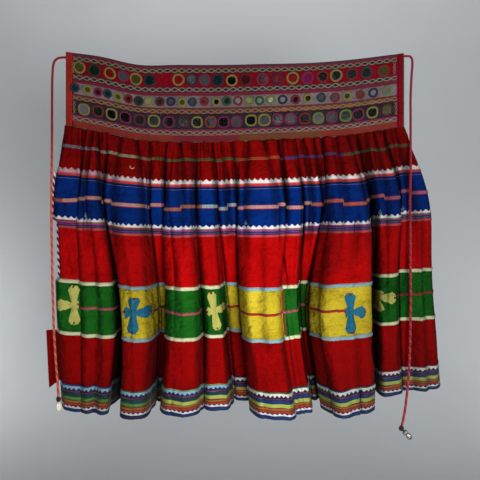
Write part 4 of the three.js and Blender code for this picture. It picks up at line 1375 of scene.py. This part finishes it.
def make_hem(mesh):
    """Hem stripes, from the top down, and the binding's coloured upper edge."""
    row, distance, place = even_places(535, 1.4)
    wave = 0.8 * np.sin(distance * 0.028) + 0.5 * np.sin(distance * 0.11)
    teeth = 518.0 + 5.0 * saw(distance + 1.3 * np.sin(distance * 0.05), 9.5)
    tips = 556.5 - 3.0 * saw(distance, 9.8)
    last = LAST_FOLD
    top_line = across_tint(place, (2, "blue"), (3, "green"), (4, "orange"), (6, "lime"), (7, "navy"),
                           (9, "green"), (11, "teal"), (last, "red"))
    ground = across_tint(place, (4, "navy"), (6, "indigo"), (last, "navy"))
    green = across_tint(place, (4, "green"), (6, "lime"), (7, "gold"), (last, "lime"))
    binding = across_tint(place, (2, "blue"), (4, "indigo"), (last, "blue"))
    for top, base, lift, rise, tint in (
            (515.0, 528.0, 0, 0.4, ground * 0.62),
            (514.8, teeth, 0.5, 0.8, across_tint(place, (6, "sky"), (last, "white")) * 0.90),
            (528.0, 535.2, 0, 0.7, across_tint(place, (6, "teal"), (last, "blue")) * 0.56),
            (535.4, 542.6, 0, 0.9, green * (0.95, 0.88, 0.95)),
            (542.8, 554.2, 0, 0.7, (0.46, 0.09, 0.07)),
            (tips, 558.6, 0.4, 0.8, (0.84, 0.83, 0.84)),
            (558.4, 566.2 - wave, -0.1, 1.6, binding * 0.52)):
        ribbon(mesh, place, top + wave, base + wave, lift, rise, tint)
    for depth, half_width, rise, tint, lift in (
            (513.4, 1.1, 0.9, top_line * 0.75, 0.25), (526.0, 0.8, 0.7, TINT["magenta"] * 0.60, 0.4),
            (539.0, 0.4, 0.5, TINT["yellow"] * 0.75, 0.9), (548.2, 0.6, 0.7, (0.50, 0.22, 0.10), 0.6)):
        line(mesh, place, depth + wave, half_width, rise, tint, lift)
    stitches(mesh, row, np.arange(0.5, row.total, 4.4), [-1.2, 0, 1.2], [-8.6, -9.6, -8.6], 0.5,
             TINT["lilac"] * 0.8)
    for depth, tint in ((545.6, "gold"), (550.8, "orange")):
        stitches(mesh, row, np.arange(0.0, row.total, 4.6), [-1.9, 0, 1.9, 0, -1.9],
                 np.array([0, -1.4, 0, 1.4, 0]) + depth - row.depth, 0.5, TINT[tint] * 0.85, 0.8)


PETAL_WAIST = 5.5
PETAL_WIDEST = 0.8
PETAL_TIP = 0.55
CROSS_LIFT = 0.9
KNOT_REACH = 0.94
PETAL_ROWS = 26
PETAL_COLUMNS = 13
FRONT_FIRST = -0.12
FRONT_LAST = 1.05
FRONT_TRIES = 4


def laid_on_front(fold, across, up):
    """Places and depths of a fold's cloth that stand at points of the front."""
    columns = (GRID_PLACES >= face_place(fold, FRONT_FIRST)) & (GRID_PLACES <= face_place(fold, FRONT_LAST))
    places = GRID_PLACES[columns]
    points = GRID_POINTS[:, columns]
    place = np.full(across.shape, places.mean())
    depth = -up - 190
    for _ in range(FRONT_TRIES):
        row = np.clip(np.searchsorted(GRID_DEPTHS, depth), 0, len(GRID_DEPTHS) - 1)
        for spot in np.ndindex(across.shape):
            level = points[row[spot]]
            rising = np.maximum.accumulate(level[:, 0])
            place[spot] = np.interp(across[spot], rising, places)
            depth[spot] += np.interp(place[spot], places, level[:, 2]) - up[spot]
    return place, depth


def petal_shape(reach, half):
    """Half widths of a petal at even steps from the middle to its tip."""
    along = np.linspace(0, reach, PETAL_ROWS)
    widest = max(PETAL_WIDEST * reach, PETAL_WAIST)
    half = min(half, widest + 2)
    bends = (0, PETAL_WAIST, widest + 0.01, max(reach, widest + 1))
    return along, np.interp(along, bends, (PETAL_WAIST, PETAL_WAIST, half, half * PETAL_TIP))

# Crosses, as the front shows them: name, fold, centre, reaches of the petals (right, top, left,
# bottom), turn and half width
CROSSES = [
    ("cream_cross_1", 0, (-341, -545), (10, 40, 38, 41), 0.04, 12.5),
    ("light_blue_cross_2", 2, (-206, -552), (31, 30, 19, 41), -0.02, 12),
    ("cream_cross_3", 5, (-43, -553), (21, 38, 14, 41), 0.18, 9),
    ("light_blue_cross_4", 10, (236, -551), (31, 38, 11, 41), 0.0, 12),
    ("cream_cross_5", 11, (301, -527), (35, 14, 7, 30), 0.0, 12.5),
]


def make_crosses(mesh):
    """The crosses, and the knots at their petals' tips, which go into mesh."""
    for name, fold, middle, reaches, turn, half_width in CROSSES:
        cotton_name = name.rsplit("_", 2)[0] + "_applique"
        cross = Mesh()
        for quarter, reach in enumerate(reaches):
            angle = turn + quarter * math.pi / 2
            right, rise = math.cos(angle), math.sin(angle)
            along, half = petal_shape(reach, half_width)
            sides = np.linspace(-1, 1, PETAL_COLUMNS)[None]
            v = half[:, None] * sides
            u = along[:, None] + 0 * v
            across = u * right - v * rise
            up = u * rise + v * right
            pucker = 0.25 * np.sin(u * 0.9 + v * 0.4) * np.sin(v * 0.7)
            place, depth = laid_on_front(fold, middle[0] + across, middle[1] + up)
            lift = CROSS_LIFT + (0.8 + pucker) * (1 - np.abs(sides) ** 10)
            points, _ = on_skirt(place, depth, CLOTH_FACE + lift)
            # Painted shade of the folds on the cross's colour
            tint = np.repeat(painted_fold_shade(place, depth).reshape(-1, 1), 3, axis=1)
            cross.add(points, grid_faces(*u.shape), tint, np.stack([across, up], axis=-1))
            knot = middle[0] + KNOT_REACH * reach * right + np.array([-1.8, 0, 1.8])
            place, depth = laid_on_front(fold, knot, middle[1] + KNOT_REACH * reach * rise + 0 * knot)
            line(mesh, place, depth, 2.2, 1.2, "dark_red", CROSS_LIFT + 0.8)
        cross.make(name + "_cloth", COTTON[cotton_name], name)


EDGING_OFFSET = 4.9


def make_left_edging():
    """White and navy strands twisted round each other, sewn along the left side."""
    route = skirt_surface(0.0, np.linspace(TIER["blue"], TIER["upper_piping"], 120))
    route = route - (EDGING_OFFSET, 0, 0)
    even = np.linspace(0, np.linalg.norm(route[-1] - route[0]), len(route))
    mesh = Mesh()
    twisted(mesh, route, even, 1.8, 2.1, [(0.98, 0.90, 0.92), (0.26, 0.17, 0.34)], 15.0)
    mesh.make("left_edging_strands", CORD, "left_twisted_edging")


def make_left_stitches(mesh):
    """White whip stitches where the hem's left end is closed."""
    row = Row(540)
    for below in (-14, -8, -2, 4, 10, 16):
        stitches(mesh, row, [1.0], [-1.0, 1.2, 3.4], [below - 2, below, below + 2], 0.8, "white")


def make_loop(mesh):
    """A small loop of loose thread on the upper red tier."""
    row = Row(62)
    turn = np.linspace(0, 1.2 * math.pi, 10)
    stitches(mesh, row, [row.distance(2.55)], 4.2 * np.cos(turn), 3.6 * np.sin(turn), 0.6, "cream")


def skirt_sewing():
    jobs = {
        "narrow_braid": make_narrow_braid, "upper_trim_strips": make_upper_trim,
        "blue_tier_braid": make_blue_braid, "outlined_triangles": make_triangles,
        "lower_trim_strips": make_lower_trim, "patch_pipings": make_pipings,
        "patch_cord": make_patch_cord, "hem_border_strips": make_hem,
        "cross_knots": make_crosses, "left_end_stitches": make_left_stitches,
        "small_loop_stitch": make_loop,
    }
    for name, job in jobs.items():
        mesh = Mesh()
        job(mesh)
        mesh.make(name, THREAD)
    make_left_edging()


skirt_sewing()


# Sewing on the waistband: heights are shares of the band's depth

def band_threads(mesh, across, share, half_width, rise, tint, lift):
    """Threads on the band: across and share are paths × points."""
    across, share = matched(np.atleast_2d(across), share)
    points, normals = on_band(across, share, lift)
    sweep(mesh, points, normals, half_width, rise, tint)


def band_line(mesh, share, half_width, rise, tint):
    across = np.arange(BAND_FIRST + 1, BAND_LAST - 1, 2.0)
    band_threads(mesh, across, share, half_width, rise, colour_of(tint), BACKING_FACE + 0.2)


def band_ribbon(mesh, top, base, rise, tint):
    across = np.arange(BAND_FIRST, BAND_LAST, 2.5)
    shares = np.array([top, mix(top, base, 0.12), (top + base) / 2, mix(top, base, 0.88), base])
    lifts = BACKING_FACE + rise * np.array([0, 0.8, 1, 0.8, 0])
    points, _ = on_band(across[None, :], shares[:, None], lifts[:, None] + 0 * across)
    mesh.add(points, grid_faces(*points.shape[:2]), tint)


LATTICE_PITCH = 16.0
LATE_LEAVES_FROM = 85.0


def tent(distance, pitch):
    """A line that falls and rises between 1 and -1."""
    return np.abs(np.mod(distance / pitch, 2) - 1) * 2 - 1


def lattice(mesh, top, base, leaf, thread_two, late_leaf=None):
    """Filled leaves in a row, with two threads that cross between them."""
    middle = (top + base) / 2
    centres = np.arange(BAND_FIRST + LATTICE_PITCH, BAND_LAST - LATTICE_PITCH / 2, LATTICE_PITCH)
    along = np.linspace(-1, 1, 5)
    across = centres[:, None] + along[None, :] * LATTICE_PITCH * 0.34
    thick = 2.9 * (1 - np.abs(along) ** 1.8) + 0.15
    late = (centres > LATE_LEAVES_FROM)[:, None]
    tint = np.where(late, leaf if late_leaf is None else late_leaf, leaf)
    wobble = 1 + 0.18 * np.sin(centres * 1.7)
    band_threads(mesh, across, middle, thick, 0.9, tint * wobble[:, None], BACKING_FACE + 0.1)
    steps = np.arange(BAND_FIRST + 2, BAND_LAST - 2, 1.6)
    swing = np.clip(tent(steps - BAND_FIRST, LATTICE_PITCH) * 1.25, -1, 1) * (base - top) / 2 * 0.82
    for side, tint in ((1, "cream"), (-1, thread_two)):
        band_threads(mesh, steps, middle + side * swing, 0.95, 1.0, TINT[tint], BACKING_FACE + 0.4)


def end_lattice(mesh, across, top, base):
    """The upright lattice that closes a mirror row at its end."""
    middle = np.linspace(top, base, 40)
    swing = 2.6 * tent(np.linspace(0, 3, 40), 1)
    for side in (1, -1):
        band_threads(mesh, across + side * swing, middle, 0.6, 0.9, TINT["cream"], STRIP_FACE + 0.3)
    reach = np.linspace(-1, 1, 5)
    thick = 1.6 * (1 - np.abs(reach) ** 1.5) + 0.2
    for share in np.linspace(top, base, 4)[:-1] + (base - top) / 6:
        band_threads(mesh, across + 0 * reach, share + reach * 0.018, thick, 0.8, (0.75, 0.30, 0.16),
                     STRIP_FACE + 0.1)


def base_tint(across):
    """The strip along the band's base: red-orange, magenta and gold-brown in turn."""
    tint = np.tile(np.array([[0.82, 0.24, 0.17]]), (len(across), 1))
    tint[(across > -135) & (across < 11)] = (0.66, 0.08, 0.30)
    tint[(across >= 11) & (across < 186)] = (0.60, 0.42, 0.16)
    return tint


PINK_GROUND = (0.60, 0.12, 0.26)
DARK_LEAF = (0.05, 0.13, 0.10)
# Top, base, rise and colour of the band's strips
BAND_RIBBONS = [
    (0.004, 0.020, 0.8, (0.34, 0.28, 0.40)), (0.022, 0.044, 0.7, (0.68, 0.16, 0.26)),
    (0.046, 0.104, 0.15, PINK_GROUND), (0.290, 0.352, 0.15, PINK_GROUND),
    (0.358, 0.380, 0.8, (0.66, 0.12, 0.30)), (0.574, 0.632, 0.15, (0.66, 0.22, 0.36)),
    (0.833, 0.848, 0.7, (0.74, 0.20, 0.40)), (0.850, 0.902, 0.15, (0.72, 0.30, 0.40)),
]
# Top, base, colour of the leaves, of the second thread, and of the leaves at the right
LATTICES = [
    (0.048, 0.104, (0.06, 0.20, 0.12), "cream"), (0.292, 0.350, DARK_LEAF, "white"),
    (0.577, 0.630, (0.66, 0.06, 0.12), "yellow", (0.95, 0.36, 0.16)),
    (0.850, 0.902, (0.62, 0.04, 0.10), "white"),
]
# Place across, top and base of the upright lattices
END_LATTICES = [(-353, 0.12, 0.275), (348, 0.12, 0.275), (-351, 0.65, 0.82), (351, 0.65, 0.82)]
# Height, half width, rise and colour of the single threads
BAND_LINES = [
    (0.1065, 0.5, 0.7, DARK_LEAF), (0.288, 0.5, 0.7, "dark_green"), (0.354, 0.5, 0.7, DARK_LEAF),
    (0.389, 0.6, 0.8, "red"), (0.564, 0.9, 1.0, "red"), (0.573, 0.5, 0.7, "green"),
    (0.634, 0.5, 0.7, "dark_green"), (0.907, 0.8, 1.0, (0.80, 0.72, 0.50)),
]
# Scattered stitches between the mirrors: range of heights, colours, count of each colour
SCATTERED = [
    (0.12, 0.275, ((0.62, 0.10, 0.14), (0.40, 0.04, 0.09)), 150),
    (0.41, 0.545, ((0.80, 0.72, 0.66), (0.55, 0.30, 0.30)), 170),
    (0.65, 0.82, ((0.42, 0.40, 0.42), (0.55, 0.18, 0.24)), 170),
]


def make_band_sewing(mesh):
    for job, rows in ((band_ribbon, BAND_RIBBONS), (lattice, LATTICES), (band_line, BAND_LINES)):
        for row in rows:
            job(mesh, *row)
    across = np.arange(BAND_FIRST + STRIP_INSET, BAND_LAST - STRIP_INSET, 2.0)
    for share in (0.93, 0.952, 0.974):
        band_threads(mesh, across, share, 1.6, 0.6, base_tint(across)[None], STRIP_FACE)
    for row in END_LATTICES:
        end_lattice(mesh, *row)
    reach = np.linspace(-1.8, 1.8, 3)
    for low, high, tints, count in SCATTERED:
        for tint in tints:
            start = random.uniform(BAND_FIRST + 6, BAND_LAST - 6, count)[:, None]
            share = random.uniform(low, high, count)[:, None]
            tilt = random.uniform(-0.02, 0.02, count)[:, None]
            band_threads(mesh, start + reach, share + tilt * reach / 2, 0.5, 0.6, tint, STRIP_FACE + 0.1)


def make_base_cord(mesh):
    """Cream cord along the seam between the band and the skirt."""
    across = np.arange(-WAIST_HALF + 3, WAIST_HALF - 3, 1.2)
    points, _ = on_band(across, 1.0, BACKING_FACE + 1.6)
    twisted(mesh, points, across - across[0], 0.7, 0.95, [(0.78, 0.70, 0.50), (0.60, 0.50, 0.34)], 6.5)


def make_end_stitches(mesh):
    """Whip stitches over the band's end bindings, and two threads along each."""
    face = BINDING_THICKNESS / 2
    share = np.linspace(0.01, 0.99, 44)[:, None]
    reach = np.linspace(-1, 1, 7)[None, :]
    path = np.linspace(0.01, 0.99, 90)
    for side, whip_tint, offsets, tint in ((-1, (0.86, 0.42, 0.30), (4.5, 9.5), (0.60, 0.12, 0.10)),
                                           (1, (0.66, 0.68, 0.30), (5.0, 10.0), (0.72, 0.10, 0.30))):
        across = side * (WAIST_HALF - 1.6 + reach * 1.6)
        lift = face + 0.25 - 0.9 * np.clip(reach, 0, 1) ** 2 + 0 * share
        band_threads(mesh, across, share + 0.004 * reach, 0.8, 0.7, whip_tint, lift)
        for offset in offsets:
            band_threads(mesh, side * (WAIST_HALF - offset), path[None], 0.55, 0.6, tint, face + 0.1)


def band_sewing():
    for name, job in (("band_embroidery", make_band_sewing), ("band_base_cord", make_base_cord),
                      ("band_end_stitches", make_end_stitches)):
        mesh = Mesh()
        job(mesh)
        # The waistband's painted shade darkens all of its threads
        mesh.tone(BAND_PAINTED_SHADE)
        mesh.make(name, THREAD)


band_sewing()


# Stage, camera and lights, in metres

CAMERA = (0.011, -1.167, -0.3066)
LENS = 40.0
SHIFT_Y = -0.098
FLOOR_HEIGHT = -1.25
BACKDROP_DEPTH = 1.10
STAGE_HALF = 6.0
STAGE_TOP = 3.0
BEND_RADIUS = 0.5
AIM = (0.0, 0.0, -0.48)
# Place, aim, size and power of each light
LIGHTS = {
    "key": ((0.5, -1.7, -0.42), AIM, (0.7, 0.6), 31),
    "right_fill": ((2.2, -1.2, -0.2), AIM, (0.8, 1.2), 8),
    "front_fill": ((-0.6, -2.2, -0.7), AIM, (1.4, 1.0), 8),
    "backdrop_top": ((0.0, 0.35, 1.1), (0.0, BACKDROP_DEPTH, 0.2), (2.4, 0.3), 11),
    "backdrop_left": ((-1.35, 0.55, -1.0), (-1.0, BACKDROP_DEPTH, -0.8), (0.3, 0.8), 5),
    "backdrop_right": ((1.35, 0.55, -1.0), (1.0, BACKDROP_DEPTH, -0.8), (0.3, 0.8), 2),
}


def studio_material():
    m = Nodes("studio_paper")
    fibre = m.range(m.noise(m.place, 2.0, 4.0, 0.5), 0.3, 0.7, 0.97, 1.03)
    return m.finish(m.brightness(m.colour((0.70, 0.715, 0.725)), fibre), Roughness=0.9)


def make_stage():
    """A pale floor that curves up into a backdrop behind the skirt."""
    bend = [(BACKDROP_DEPTH - BEND_RADIUS * (1 - math.sin(turn)),
             FLOOR_HEIGHT + BEND_RADIUS * (1 - math.cos(turn))) for turn in np.linspace(0, math.pi / 2, 12)]
    profile = [(-STAGE_HALF, FLOOR_HEIGHT), *bend, (BACKDROP_DEPTH, STAGE_TOP)]
    points = [(x, y, z) for y, z in profile for x in (-STAGE_HALF, STAGE_HALF)]
    faces = [(2 * k, 2 * k + 1, 2 * k + 3, 2 * k + 2) for k in range(len(profile) - 1)]
    data = bpy.data.meshes.new("studio_sweep")
    data.from_pydata(points, [], faces)
    data.polygons.foreach_set("use_smooth", [True] * len(faces))
    data.materials.append(studio_material())
    backdrop = bpy.data.objects.new("studio_sweep", data)
    bpy.context.collection.objects.link(backdrop)


def soft_light(name, place, aim, size, power):
    data = bpy.data.lights.new(name, "AREA")
    data.shape = "RECTANGLE"
    data.size, data.size_y = size
    data.energy = power
    light = bpy.data.objects.new(name, data)
    bpy.context.collection.objects.link(light)
    light.location = place
    direction = Vector(aim) - Vector(place)
    light.rotation_euler = direction.to_track_quat("-Z", "Y").to_euler()


def make_view():
    camera = bpy.data.objects.new("camera", bpy.data.cameras.new("camera"))
    bpy.context.collection.objects.link(camera)
    camera.location = CAMERA
    camera.rotation_euler = (math.pi / 2, 0, 0)
    camera.data.lens = LENS
    camera.data.shift_y = SHIFT_Y
    bpy.context.scene.camera = camera
    world = bpy.data.worlds.new("studio")
    world.use_nodes = True
    sky = world.node_tree.nodes["Background"].inputs
    sky["Color"].default_value = (0.80, 0.84, 0.90, 1)
    sky["Strength"].default_value = 0.09
    bpy.context.scene.world = world
    bpy.context.scene.view_settings.view_transform = "Standard"
    for name, values in LIGHTS.items():
        soft_light(name, *values)


make_stage()
make_view()
